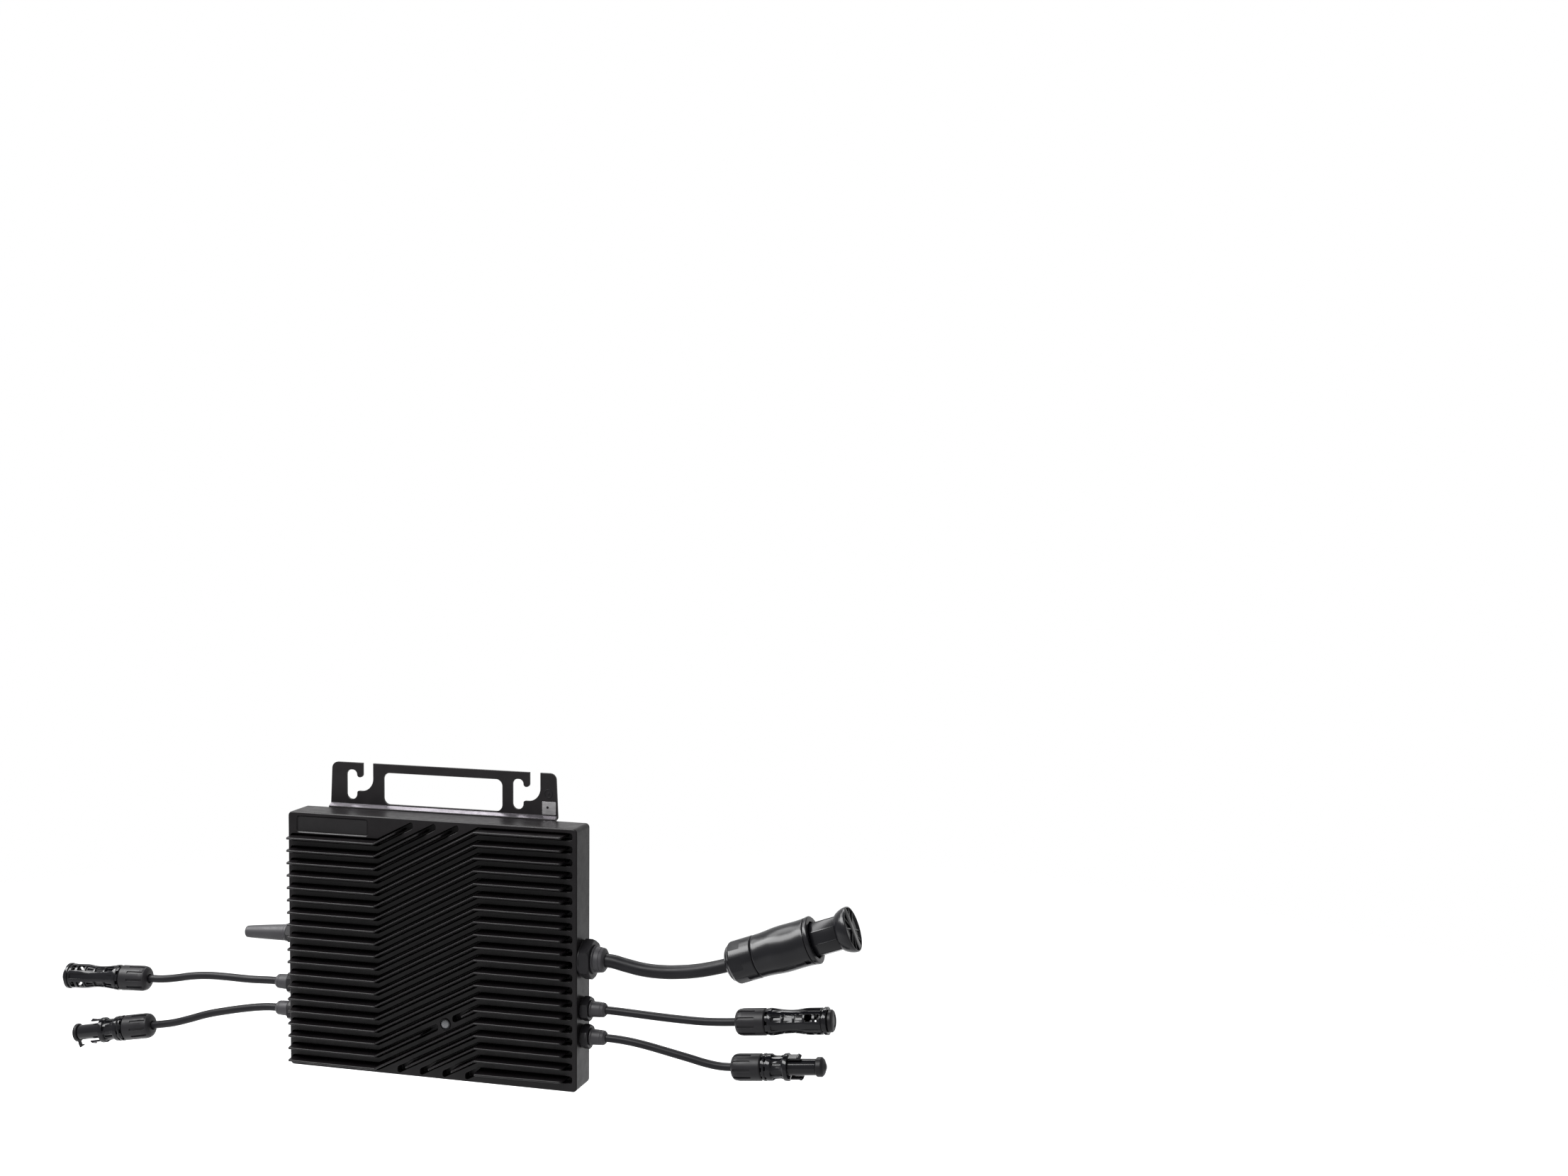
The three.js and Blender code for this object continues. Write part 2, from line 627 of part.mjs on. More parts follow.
function barrelBody() {
  const profile = [
    [STEM_S, 0], [STEM_S, STEM_R], [22.9, STEM_R], [22.9, 8.7], [24, 8.7], [24, 9.7],
    [25.6, 9.7], [25.6, 8.8], [26.8, 8.8], [26.8, 9.6], [29.8, 9.5], [32, 8.1],
    [37, 8.1], [39.4, 9.6], [42.2, 9.8], [42.2, BARREL_R], [BARREL_END_S, BARREL_R], [BARREL_END_S, 0],
  ];
  return cut(revolve(profile), rod(BARREL_FLOOR_S, BARREL_END_S + 1, BARREL_BORE_R));
}

// A latch prong stands off the barrel and springs inwards about its root.
const PRONG = { root: 42.6, tip: 52, inner: 7.2, outer: 9.4, half: 2.8 };

function latchProng(turn) {
  const width = [-PRONG.half, PRONG.half];
  const arm = block(PRONG.root, PRONG.tip, ...width, PRONG.inner, PRONG.outer - 0.5);
  const hook = block(PRONG.tip - 3, PRONG.tip, ...width, PRONG.inner, PRONG.outer);
  return join(arm, hook).rotate([turn, 0, 0]);
}

function socketCap() {
  const plugR = SOCKET_R - PLUG_CLEAR;
  const end = SOCKET_END_S + GAP;
  const disc = [[end, 7.8], [70, 7.8], [71.2, 6.4], [71.7, 4], [71.7, 0]];
  return revolve([[60, 0], [60, plugR], [end, plugR], ...disc]);
}

// A plug for the barrel's bore, from its tip to the barrel's mouth, and whatever closes the mouth.
function barrelPlug(head) {
  const plugR = BARREL_BORE_R - PLUG_CLEAR;
  return revolve([[56, 0], [56, plugR], [BARREL_END_S + GAP, plugR], ...head]);
}

function coneCap() {
  const end = BARREL_END_S + GAP;
  return barrelPlug([[end, 6.3], [63.2, 6.7], [66.6, 6.7], [67.6, 5.8], [69.4, 1.2], [69.4, 0]]);
}

// A flat cap with a pull tab that hangs straight down and ends in a small barb.
function tabCap(roll) {
  const end = BARREL_END_S + GAP;
  const disc = barrelPlug([[end, 6.7], [end + 0.6, 7], [64.6, 7], [65.4, 6.4], [65.4, 0]]);
  const stalk = block(63, 64.6, -1.3, 1.3, -11.6, -6);
  const barb = block(60.8, 64, -1.3, 1.3, -10.7, -9.5);
  const tab = join(stalk, barb).rotate([(-roll * 180) / Math.PI, 0, 0]);
  return join(disc, tab);
}

function solarLead({ name, side, z, route, direction, roll, kind }) {
  gland(name, side, z, 18.6, 5.8, 5.5, 132.4, LEAD_HOLE_R);
  add(`${name}_cable`, sheath(route, CABLE_R, 14), finish.sheath);
  const start = connectorStart(route, direction);
  const base = alongAxis(start, direction, roll);
  add(`${name}_nut`, connectorNut(), finish.plasticBlack, base);
  if (kind === 'socket') {
    add(`${name}_body`, socketBody(), finish.plasticBlack, base);
    add(`${name}_contact`, rod(SOCKET_FLOOR_S + GAP, 47, 1.6), finish.zinc, base);
    add(`${name}_cap`, socketCap(), finish.plasticMatt, base);
  } else {
    add(`${name}_body`, barrelBody(), finish.plasticBlack, base);
    add(`${name}_contact`, rod(BARREL_FLOOR_S + GAP, 50, 2.4), finish.zinc, base);
    add(`${name}_cap`, side > 0 ? coneCap() : tabCap(roll), finish.plasticMatt, base);
    add(`${name}_prong_upper`, latchProng(0), finish.plasticBlack, base);
    add(`${name}_prong_lower`, latchProng(180), finish.plasticBlack, base);
  }
}

// The lead ends inside its connector, just short of the connector's stem.
function connectorStart(route, direction) {
  const end = new THREE.Vector3(...route[route.length - 1]);
  const back = new THREE.Vector3(...direction).normalize().multiplyScalar(STEM_S - GAP);
  return end.sub(back).toArray();
}

// The unit direction of a connector: sideways, turned towards the front and raised, in degrees.
function aim(side, forward, up) {
  const [f, u] = [THREE.MathUtils.degToRad(forward), THREE.MathUtils.degToRad(up)];
  return [side * Math.cos(f) * Math.cos(u), -Math.sin(f) * Math.cos(u), Math.sin(u)];
}

const LEADS = [
  {
    name: 'right_upper', side: 1, z: UPPER_Z, kind: 'socket', roll: 1.06, direction: aim(1, 0, 5.6),
    route: [[132.7, 0, 58.7], [139, 0, 58.6], [155, 0, 58], [175, 0, 57.2], [192, 0, 56.8], [206, 0, 56.8],
      [219, 0, 57.5], [229, 0, 58.4], [231.9, 0, 58.69], [234.88, 0, 58.98]],
  },
  {
    name: 'right_lower', side: 1, z: LOWER_Z, kind: 'barrel', roll: 0.28, direction: aim(1, 0, 5.4),
    route: [[132.7, 0, 38.2], [139, 0, 38.1], [148, 0, 37.5], [156, 0, 36.6], [166, 0, 35], [176, 0, 33.1],
      [196, 0, 29.2], [209, 0, 26.6], [219, 0, 25.5], [226.5, 0, 25.6], [229, 0, 25.8], [231.98, 0, 26.08]],
  },
  {
    name: 'left_upper', side: -1, z: UPPER_Z, kind: 'socket', roll: 1.03, direction: aim(-1, 5, -1.3),
    route: [[-132.7, 0, 58.7], [-139, 0, 58.6], [-155, 0, 58], [-178, 0, 58.2], [-192, 0, 57.9],
      [-206, -0.1, 56.4], [-221, -0.3, 53.6], [-232, -0.6, 52.1], [-240, -0.9, 51.8],
      [-243.5, -1.1, 51.68], [-246.09, -1.32, 51.62]],
  },
  {
    name: 'left_lower', side: -1, z: LOWER_Z, kind: 'barrel', roll: 0.34, direction: aim(-1, 5, -9),
    route: [[-132.7, 0, 38.2], [-139, 0, 38], [-147, 0, 37.2], [-155, 0, 36], [-177, 0, 31.6],
      [-194, 0, 27.4], [-208, -0.1, 22.8], [-222, -0.3, 18.6], [-232, -0.6, 16.6],
      [-239, -0.9, 15.5], [-241.5, -1.1, 15.1], [-243.94, -1.32, 14.72]],
  },
];
LEADS.forEach(solarLead);

// ---------------------------------------------------------------- grid lead

const GRID_R = 5;
const GRID_NUT = { long: 22.7, corners: 30.8, sides: 10, stemR: 11.4 };
const GRID_SOCKET_R = 12.9;
const GRID_FLOOR_S = 30;
const GRID_END_S = 67;

const GRID_ROUTE = [
  [133, 0, 95.2], [138, 0, 94.8], [147, 0, 93], [161, 0, 90.7], [175, 0, 90.2], [188, 0, 91.1],
  [202, 0, 93.2], [213, 0, 95.8], [222, 0, 98.4], [225.5, 0, 99.57], [228.79, 0, 100.75],
];
const GRID_AIM = aim(1, 0, 19.8);

function gridNut() {
  const dome = revolve([[0, 0], [0, 8], [1, 11], [3, 13.6], [5.2, 14.6], [5.2, 0]]);
  const facets = prism(4.4, GRID_NUT.long, GRID_NUT.corners, GRID_NUT.sides);
  const bore = rod(STEM_S - GAP, GRID_NUT.long + 1, GRID_NUT.stemR + BORE_CLEAR);
  return cut(join(dome, facets), bore, rod(-1, STEM_S, GRID_R + 0.5));
}

function gridBody() {
  const profile = [
    [STEM_S, 0], [STEM_S, GRID_NUT.stemR], [23, GRID_NUT.stemR], [23, 15.3], [28, 15.65],
    [33, 15.85], [38, 16.25], [44, 16.6], [50, 16.6], [56, 16.4], [60, 16.5],
    [63.4, 16.7], [64.2, 17.1], [66, 17.1], [GRID_END_S, 16.4], [GRID_END_S, 0],
  ];
  const notch = block(60.6, 63.6, -2, 2, 15.2, 19).rotate([125, 0, 0]);
  return cut(revolve(profile, 24), rod(GRID_FLOOR_S, GRID_END_S + 1, GRID_SOCKET_R, 20), notch);
}

function gridInsert() {
  const holder = rod(GRID_FLOOR_S + GAP, 36, GRID_SOCKET_R - GAP, 20);
  const pins = [[5, 0], [-5, 0], [0, 5], [0, -5]].map(([y, z]) => rod(35, 44, 1.2, 8).translate([0, y, z]));
  return join(holder, ...pins);
}

const DRUM_R = GRID_SOCKET_R - PLUG_CLEAR;
const DRUM_END_S = 85.8;
const FLUTES = 12;

function gridCap() {
  const flutes = Array.from({ length: FLUTES }, (_, i) => {
    const flute = block(69, DRUM_END_S + 1, -1.1, 1.1, DRUM_R - 0.9, DRUM_R + 2);
    return flute.rotate([((i + 0.5) * 360) / FLUTES, 0, 0]);
  });
  return cut(rod(57, DRUM_END_S, DRUM_R, 24), ...flutes);
}

// The knob flares out to a rim. Its dished face has a grip bar and radial ribs.
const KNOB = { faceS: 95.6, dishS: 94.6, dishR: 15.1 };

function gridKnob() {
  const root = DRUM_END_S + GAP;
  const rim = [[root, 12.4], [89, 13.2], [92, 15.3], [93.8, 16.4], [KNOB.faceS, 16.6]];
  const dish = [[KNOB.faceS, 15.4], [KNOB.dishS, KNOB.dishR], [KNOB.dishS, 0]];
  const rooted = KNOB.dishS - 0.6;
  const bar = block(rooted, KNOB.faceS, -3.4, 3.4, -KNOB.dishR, KNOB.dishR);
  const ribs = [35, 65, -35, -65].map((turn) => {
    const rib = block(rooted, KNOB.faceS - 0.3, -0.5, 0.5, -KNOB.dishR, KNOB.dishR);
    return rib.rotate([turn, 0, 0]);
  });
  return join(revolve([[root, 0], ...rim, ...dish], 24), bar, ...ribs);
}

gland('grid', 1, GRID_Z, 29.8, 8.4, 9.2, 132.3, GRID_HOLE_R);
add('grid_cable', sheath(GRID_ROUTE, GRID_R, 14), finish.sheath);
const gridBase = alongAxis(connectorStart(GRID_ROUTE, GRID_AIM), GRID_AIM, 0.2);
add('grid_nut', gridNut(), finish.plasticBlack, gridBase);
add('grid_body', gridBody(), finish.plasticBlack, gridBase);
add('grid_insert', gridInsert(), finish.plasticMatt, gridBase);
add('grid_cap', gridCap(), finish.plasticBlack, gridBase);
add('grid_knob', gridKnob(), finish.plasticBlack, gridBase);

// ---------------------------------------------------------------- radio antenna

const antennaBase = alongAxis([-WIDTH / 2, 0, ANTENNA_Z], [-1, 0, -0.05], 0);

function antennaFerrule() {
  return join(prism(0.8, 7, 15, 6), rod(-STEM_REACH, 1.2, LEAD_HOLE_R - BORE_CLEAR));
}

function antennaStub() {
  const taper = [[12, 6.2], [30, 5.2], [40, 4.5], [42.2, 3.6], [43, 1.6]];
  return revolve([[7.5, 0], [7.5, 6.3], ...taper, [43, 0]], 18);
}

add('antenna_ferrule', antennaFerrule(), finish.plasticMatt, antennaBase);
add('antenna_stub', antennaStub(), finish.rubberBlack, antennaBase);

export default model;
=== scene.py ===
"""The look of a two-input micro inverter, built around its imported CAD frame.

Lengths inside the builders are millimetres in the housing's frame (x from its middle, y from its
mid-depth, z from its underside) or along a connector (s from the rear of its nut). HOUSING and
CONNECTOR[...] bring them into the part's own frame, in metres.
"""

import json
import math

import bmesh
import bpy
from mathutils import Matrix, Vector


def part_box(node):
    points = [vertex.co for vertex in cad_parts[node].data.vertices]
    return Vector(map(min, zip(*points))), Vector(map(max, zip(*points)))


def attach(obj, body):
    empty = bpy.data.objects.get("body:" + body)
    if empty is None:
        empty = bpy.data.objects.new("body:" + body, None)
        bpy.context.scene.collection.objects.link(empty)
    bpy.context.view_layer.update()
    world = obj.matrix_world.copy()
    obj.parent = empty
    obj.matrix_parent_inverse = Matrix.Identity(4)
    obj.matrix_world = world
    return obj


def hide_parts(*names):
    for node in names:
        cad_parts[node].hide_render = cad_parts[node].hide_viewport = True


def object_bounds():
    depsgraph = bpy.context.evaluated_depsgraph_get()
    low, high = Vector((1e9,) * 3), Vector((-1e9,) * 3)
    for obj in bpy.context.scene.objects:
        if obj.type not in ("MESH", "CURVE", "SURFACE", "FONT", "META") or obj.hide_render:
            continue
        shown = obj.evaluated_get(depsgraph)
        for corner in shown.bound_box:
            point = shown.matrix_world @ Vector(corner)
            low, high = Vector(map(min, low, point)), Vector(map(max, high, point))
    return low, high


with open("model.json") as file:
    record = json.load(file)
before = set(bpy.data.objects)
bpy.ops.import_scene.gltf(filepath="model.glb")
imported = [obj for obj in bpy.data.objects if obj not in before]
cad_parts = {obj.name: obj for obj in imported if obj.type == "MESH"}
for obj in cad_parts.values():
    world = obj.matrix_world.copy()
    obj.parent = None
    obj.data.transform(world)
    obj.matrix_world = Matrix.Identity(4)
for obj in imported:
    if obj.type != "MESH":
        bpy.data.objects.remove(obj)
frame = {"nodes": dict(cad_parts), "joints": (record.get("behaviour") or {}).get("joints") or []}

cad_low, cad_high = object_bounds()

# ---- places, from the frame

MM = 0.001
FIN_TIP_Y = -21.0

housing_low, housing_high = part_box("housing")
WIDTH = (housing_high.x - housing_low.x) / MM
HEIGHT = (housing_high.z - housing_low.z) / MM
ORIGIN = Vector((
    -(housing_low.x + housing_high.x) / 2 / MM,
    FIN_TIP_Y - housing_low.y / MM,
    -housing_low.z / MM,
))
HOUSING = Matrix.Scale(MM, 4) @ Matrix.Translation(-ORIGIN)

JOINTS = {joint["name"]: joint for joint in frame["joints"]}
NUT_PIVOT_S = 12.0

# How far each connector is rolled about its axis, in radians.
ROLL = {"right_upper": 1.06, "right_lower": 0.28, "left_upper": 1.03, "left_lower": 0.34, "grid": 0.2}


def connector_place(name):
    """The frame of a connector: +X along it from the rear of its nut, +Z up before the roll."""
    joint = JOINTS[f"{name}_nut_turn"]
    along = Vector(joint["axis"]).normalized()
    start = Vector(joint["pos_m"]) - along * NUT_PIVOT_S * MM
    across = Vector((0, 0, 1)).cross(along).normalized()
    up = along.cross(across)
    facing = Matrix((along, across, up)).transposed().to_4x4()
    roll = Matrix.Rotation(ROLL[name], 4, "X")
    return Matrix.Translation(start) @ facing @ roll @ Matrix.Scale(MM, 4)


CONNECTOR = {name: connector_place(name) for name in ROLL}

# ---- camera

SENSOR_WIDTH = 36.0
PHOTO_FOCAL = 44.80
NEAREST, FARTHEST = 0.01, 200.0
CAMERA_AT = Vector((0.62284, -1.32002, 0.24057))
CAMERA_RIGHT = Vector((0.96368556, 0.26690944, 0.00833638))
CAMERA_UP = Vector((-0.02681689, 0.06566897, 0.99748105))


def placed(name, data):
    """A new object in the scene."""
    obj = bpy.data.objects.new(name, data)
    bpy.context.collection.objects.link(obj)
    return obj


def make_camera():
    data = bpy.data.cameras.new("camera")
    data.sensor_width = SENSOR_WIDTH
    data.lens = PHOTO_FOCAL
    data.clip_start = NEAREST
    data.clip_end = FARTHEST
    camera = placed("camera", data)
    back = CAMERA_RIGHT.cross(CAMERA_UP)
    facing = Matrix((CAMERA_RIGHT, CAMERA_UP, back)).transposed().to_4x4()
    camera.matrix_world = Matrix.Translation(CAMERA_AT) @ facing
    bpy.context.scene.camera = camera


make_camera()

# ---- materials

# How fine the patterns are, in features a metre.
CLOUDS = 55.0
SMUDGES = 160.0
BRUSH_LINES = 900.0
BRUSH_SMUDGES = 220.0
BRUSH_DEPTH = 0.02


class Nodes:
    """A material whose surface pattern is made of nodes, in metres."""

    def __init__(self, name):
        self.material = bpy.data.materials.new(name)
        self.material.use_nodes = True
        self.tree = self.material.node_tree
        self.shader = self.tree.nodes["Principled BSDF"]
        self.place = self.add("ShaderNodeTexCoord").outputs["Object"]

    def link(self, out, into):
        self.tree.links.new(out, into)

    def add(self, kind, **values):
        """A new node with these values in its sockets. A space in a socket's name is written _."""
        node = self.tree.nodes.new(kind)
        for socket, value in values.items():
            node.inputs[socket.replace("_", " ")].default_value = value
        return node

    def noise(self, scale, detail, roughness=0.55, stretch=None):
        node = self.add("ShaderNodeTexNoise", Scale=scale, Detail=detail, Roughness=roughness)
        place = self.place
        if stretch:
            mapping = self.add("ShaderNodeMapping", Scale=stretch)
            self.link(place, mapping.inputs["Vector"])
            place = mapping.outputs["Vector"]
        self.link(place, node.inputs["Vector"])
        return node.outputs["Fac"]

    def span(self, value, low, high, start=0.3, end=0.7):
        node = self.add("ShaderNodeMapRange", From_Min=start, From_Max=end, To_Min=low, To_Max=high)
        self.link(value, node.inputs["Value"])
        return node.outputs["Result"]

    def blend(self, value, first, second):
        node = self.add("ShaderNodeMix")
        node.data_type = "RGBA"
        node.inputs["A"].default_value = (*first, 1.0)
        node.inputs["B"].default_value = (*second, 1.0)
        self.link(value, node.inputs["Factor"])
        return node.outputs["Result"]

    def bump(self, height, deep, below=None):
        node = self.add("ShaderNodeBump", Distance=deep)
        self.link(height, node.inputs["Height"])
        if below:
            self.link(below, node.inputs["Normal"])
        return node.outputs["Normal"]


def surface(name, dark, light, rough, grain, deep, specular=0.5, waves=None, metal=0.0):
    """A moulded, cast or coated surface: cloudy colour, uneven gloss, and a fine grain in relief.

    grain is the size of the grain and deep its depth, and waves the size and height of broader
    waves, all in millimetres.
    """
    nodes = Nodes(name)
    shader = nodes.shader
    shader.inputs["Metallic"].default_value = metal
    shader.inputs["Specular IOR Level"].default_value = specular
    cloud = nodes.noise(CLOUDS, 4.0)
    nodes.link(nodes.blend(nodes.span(cloud, 0.0, 1.0), dark, light), shader.inputs["Base Color"])
    smudge = nodes.noise(SMUDGES, 5.0, 0.6)
    nodes.link(nodes.span(smudge, *rough), shader.inputs["Roughness"])
    fine = nodes.bump(nodes.noise(1 / (grain * MM), 2.0), deep * MM)
    if waves:
        size, tall = waves
        fine = nodes.bump(nodes.noise(1 / (size * MM), 1.0), tall * MM, fine)
    nodes.link(fine, shader.inputs["Normal"])
    return nodes.material


def brushed(name, dark, light, rough, stretch):
    """Bare metal with a fine directional finish."""
    nodes = Nodes(name)
    shader = nodes.shader
    shader.inputs["Metallic"].default_value = 1.0
    lines = nodes.noise(BRUSH_LINES, 4.0, 0.65, stretch)
    nodes.link(nodes.blend(nodes.span(lines, 0.0, 1.0), dark, light), shader.inputs["Base Color"])
    nodes.link(nodes.span(nodes.noise(BRUSH_SMUDGES, 4.0), *rough), shader.inputs["Roughness"])
    nodes.link(nodes.bump(lines, BRUSH_DEPTH * MM), shader.inputs["Normal"])
    return nodes.material


LOOK = {
    "cast": surface(
        "cast_black", (0.0022, 0.0018, 0.0021), (0.0036, 0.0031, 0.0035), (0.3, 0.42), 0.35, 0.012, 0.115,
        waves=(2.2, 0.004),
    ),
    "sheet": surface(
        "sheet_black", (0.0035, 0.003, 0.0034), (0.0055, 0.0048, 0.0053), (0.28, 0.38), 0.3, 0.01, 0.13,
        waves=(1.6, 0.003),
    ),
    "plastic": surface(
        "plastic_black", (0.002, 0.002, 0.0027), (0.0031, 0.0031, 0.004), (0.225, 0.235), 0.22, 0.001, 0.16,
    ),
    "gloss": surface(
        "plastic_gloss", (0.002, 0.002, 0.0027), (0.003, 0.003, 0.0038), (0.128, 0.138), 0.22, 0.0008, 0.15,
    ),
    "satin": surface(
        "plastic_satin", (0.004, 0.0038, 0.0045), (0.006, 0.0057, 0.0066), (0.36, 0.46), 0.2, 0.006, 0.13,
    ),
    "matt": surface(
        "plastic_matt", (0.0034, 0.0032, 0.0038), (0.0052, 0.005, 0.0057), (0.34, 0.44), 0.25, 0.006, 0.12,
    ),
    "rubber": surface(
        "rubber_black", (0.01, 0.0095, 0.011), (0.0145, 0.014, 0.016), (0.46, 0.58), 0.3, 0.015, 0.24,
    ),
    "sheath": surface(
        "sheath_black", (0.0036, 0.0035, 0.0042), (0.0055, 0.0054, 0.0064), (0.34, 0.44), 0.4, 0.008, 0.09,
        waves=(4.0, 0.006),
    ),
    "label": surface(
        "label_black", (0.0024, 0.0021, 0.0024), (0.0036, 0.0032, 0.0036), (0.4, 0.5), 0.2, 0.004, 0.15,
    ),
    "lens": surface("lens_grey", (0.05, 0.052, 0.056), (0.085, 0.088, 0.095), (0.2, 0.3), 0.5, 0.002),
    "board": surface("board_green", (0.008, 0.05, 0.018), (0.014, 0.08, 0.03), (0.3, 0.45), 0.5, 0.01),
    "ferrite": surface("ferrite_grey", (0.02, 0.02, 0.022), (0.035, 0.034, 0.036), (0.55, 0.75), 0.3, 0.03),
    "winding": surface(
        "winding_copper", (0.35, 0.13, 0.05), (0.5, 0.2, 0.08), (0.25, 0.4), 0.6, 0.05, metal=0.8,
    ),
    "can": surface("can_sleeve", (0.02, 0.02, 0.024), (0.03, 0.03, 0.036), (0.3, 0.4), 0.4, 0.005),
    "steel": brushed("plated_steel", (0.42, 0.43, 0.45), (0.62, 0.62, 0.63), (0.25, 0.4), (1.0, 1.0, 0.15)),
    "bare": brushed("bare_sheet", (0.2, 0.195, 0.2), (0.3, 0.295, 0.3), (0.34, 0.46), (0.12, 1.0, 1.0)),
    # The joggle's strip: brushed metal shinier than the black sheet, a painted sheen for the highlight on
    # the joggle.
    "bend": brushed(
        "brushed_bend_painted_sheen", (0.055, 0.051, 0.057), (0.1, 0.093, 0.103), (0.28, 0.4), (0.05, 1.0, 1.0),
    ),
    "contact": brushed(
        "plated_contact", (0.55, 0.47, 0.32), (0.72, 0.64, 0.46), (0.2, 0.3), (0.15, 1.0, 1.0),
    ),
}

# ---- outlines

ARC_STEP = math.radians(24)
FINE_STEP = math.radians(7)
LARGE_CORNER = 3.0
NEARLY_STRAIGHT = 0.04
SMALLEST_R = 0.05
# How much of an edge's length the arcs at its two ends may take up.
ARC_SHARE = 0.98


def rounded(points, radii, closed=True, step=ARC_STEP):
    """The same flat outline with its corners turned into arcs. radii is one radius, or one a corner."""
    count = len(points)
    radii = radii if isinstance(radii, (list, tuple)) else [radii] * count
    line = []
    for i, point in enumerate(points):
        corner = Vector(point)
        if radii[i] <= 0 or (not closed and i in (0, count - 1)):
            line.append(corner)
            continue
        before, after = (i - 1) % count, (i + 1) % count
        u, v = Vector(points[before]) - corner, Vector(points[after]) - corner
        turn = math.pi - u.angle(v)
        if turn < NEARLY_STRAIGHT:
            line.append(corner)
            continue
        slope = math.tan(turn / 2)
        room_u = u.length * radii[i] / (radii[i] + radii[before]) * ARC_SHARE
        room_v = v.length * radii[i] / (radii[i] + radii[after]) * ARC_SHARE
        reach = min(radii[i] * slope, room_u, room_v)
        radius = reach / slope
        u.normalize()
        v.normalize()
        centre = corner + (u + v).normalized() * (radius / math.cos(turn / 2))
        a, b = corner + u * reach - centre, corner + v * reach - centre
        start = math.atan2(a.y, a.x)
        sweep = math.atan2(a.x * b.y - a.y * b.x, a.dot(b))
        steps = max(2, math.ceil(turn / step))
        for k in range(steps + 1):
            angle = start + sweep * k / steps
            line.append(centre + Vector((math.cos(angle), math.sin(angle))) * radius)
    return line


def rectangle(x0, x1, z0, z1, radius):
    """outline(grow) of a rectangle with rounded corners, whose sides move outwards by grow."""
    step = FINE_STEP if radius > LARGE_CORNER else ARC_STEP

    def outline(grow):
        left, right, low, high = x0 - grow, x1 + grow, z0 - grow, z1 + grow
        corners = [(left, low), (right, low), (right, high), (left, high)]
        return rounded(corners, max(radius + grow, SMALLEST_R), step=step)

    return outline


# ---- meshes


def finished(bm, closed=True):
    """The mesh of bm, its faces turned outwards."""
    if closed and not all(edge.is_manifold for edge in bm.edges):
        raise ValueError("a solid has an open or doubled edge")
    bmesh.ops.recalc_face_normals(bm, faces=bm.faces)
    mesh = bpy.data.meshes.new("part")
    bm.to_mesh(mesh)
    bm.free()
    return mesh


def around(count):
    """Evenly spaced angles round a circle, in radians."""
    return [2 * math.pi * i / count for i in range(count)]


def skin(bm, pairs):
    """Faces between pairs of rings of equally many points."""
    for a, b in pairs:
        for i in range(len(a)):
            j = (i + 1) % len(a)
            bm.faces.new((a[i], a[j], b[j], b[i]))


def loft(rings):
    """A closed solid through rings of equally many points, with flat ends."""
    if len({len(ring) for ring in rings}) > 1:
        raise ValueError("the rings of a loft differ in their number of points")
    bm = bmesh.new()
    rows = [[bm.verts.new(point) for point in ring] for ring in rings]
    skin(bm, zip(rows, rows[1:]))
    bm.faces.new(list(reversed(rows[0])))
    bm.faces.new(rows[-1])
    return finished(bm)


def stack(outline, levels):
    """A solid through outlines in (x, z), one at each (grow, y) level."""
    return loft([[(x, y, z) for x, z in outline(grow)] for grow, y in levels])


def lathe(profile, sides, closed=False):
    """A solid of revolution about +X. The profile runs from the axis back to it, or closes on itself."""
    bm = bmesh.new()
    inner = profile if closed else profile[1:-1]
    turns = around(sides)
    rows = [[bm.verts.new((s, r * math.sin(t), r * math.cos(t))) for t in turns] for s, r in inner]
    pairs = list(zip(rows, rows[1:]))
    if closed:
        pairs.append((rows[-1], rows[0]))
    skin(bm, pairs)
    if not closed:
        for row, (s, _) in ((rows[0], profile[0]), (rows[-1], profile[-1])):
            tip = bm.verts.new((s, 0, 0))
            for i in range(sides):
                bm.faces.new((row[i], row[(i + 1) % sides], tip))
    return finished(bm)


def turned(points, radius, sides, closed=False):
    """A lathe solid whose profile corners are rounded."""
    return lathe([tuple(p) for p in rounded(points, radius, closed)], sides, closed)


def rod(s0, s1, radius, sides, edge=0.0):
    """A rod along +X, with rounded ends where an edge is given."""
    profile = [(s0, 0), (s0, radius), (s1, radius), (s1, 0)]
    return turned(profile, edge, sides) if edge else lathe(profile, sides)


EASE_STEP = 1.0


def eased(points):
    """Points at even steps along a smooth curve through the given (s, r) points."""
    slopes = []
    for i in range(len(points)):
        (s0, r0), (s1, r1) = points[max(i - 1, 0)], points[min(i + 1, len(points) - 1)]
        slopes.append((r1 - r0) / (s1 - s0))
    line = [points[0]]
    for (s0, r0), (s1, r1), m0, m1 in zip(points, points[1:], slopes, slopes[1:]):
        span = s1 - s0
        count = max(1, round(span / EASE_STEP))
        for i in range(1, count + 1):
            t = i / count
            r = (2 * t ** 3 - 3 * t ** 2 + 1) * r0 + (t ** 3 - 2 * t ** 2 + t) * span * m0
            r += (3 * t ** 2 - 2 * t ** 3) * r1 + (t ** 3 - t ** 2) * span * m1
            line.append((s0 + t * span, r))
    return line


def gather(meshes):
    """Several meshes as one."""
    bm = bmesh.new()
    for mesh in meshes:
        bm.from_mesh(mesh)
    return finished(bm)


def combine(mesh, tools, operation):
    """mesh with the tools cut from it, joined to it or kept in common with it."""
    first = placed("first", mesh)
    second = placed("second", gather(tools))
    modifier = first.modifiers.new("combine", "BOOLEAN")
    modifier.object = second
    modifier.operation = operation
    modifier.solver = "MANIFOLD"
    graph = bpy.context.evaluated_depsgraph_get()
    made = bpy.data.meshes.new_from_object(first.evaluated_get(graph))
    for obj in (first, second):
        bpy.data.objects.remove(obj)
    if not made.polygons:
        raise ValueError("a boolean left nothing")
    return made


def cut(mesh, *tools):
    return combine(mesh, tools, "DIFFERENCE")


def join(mesh, *tools):
    return combine(mesh, tools, "UNION")


def common(mesh, *tools):
    return combine(mesh, tools, "INTERSECT")


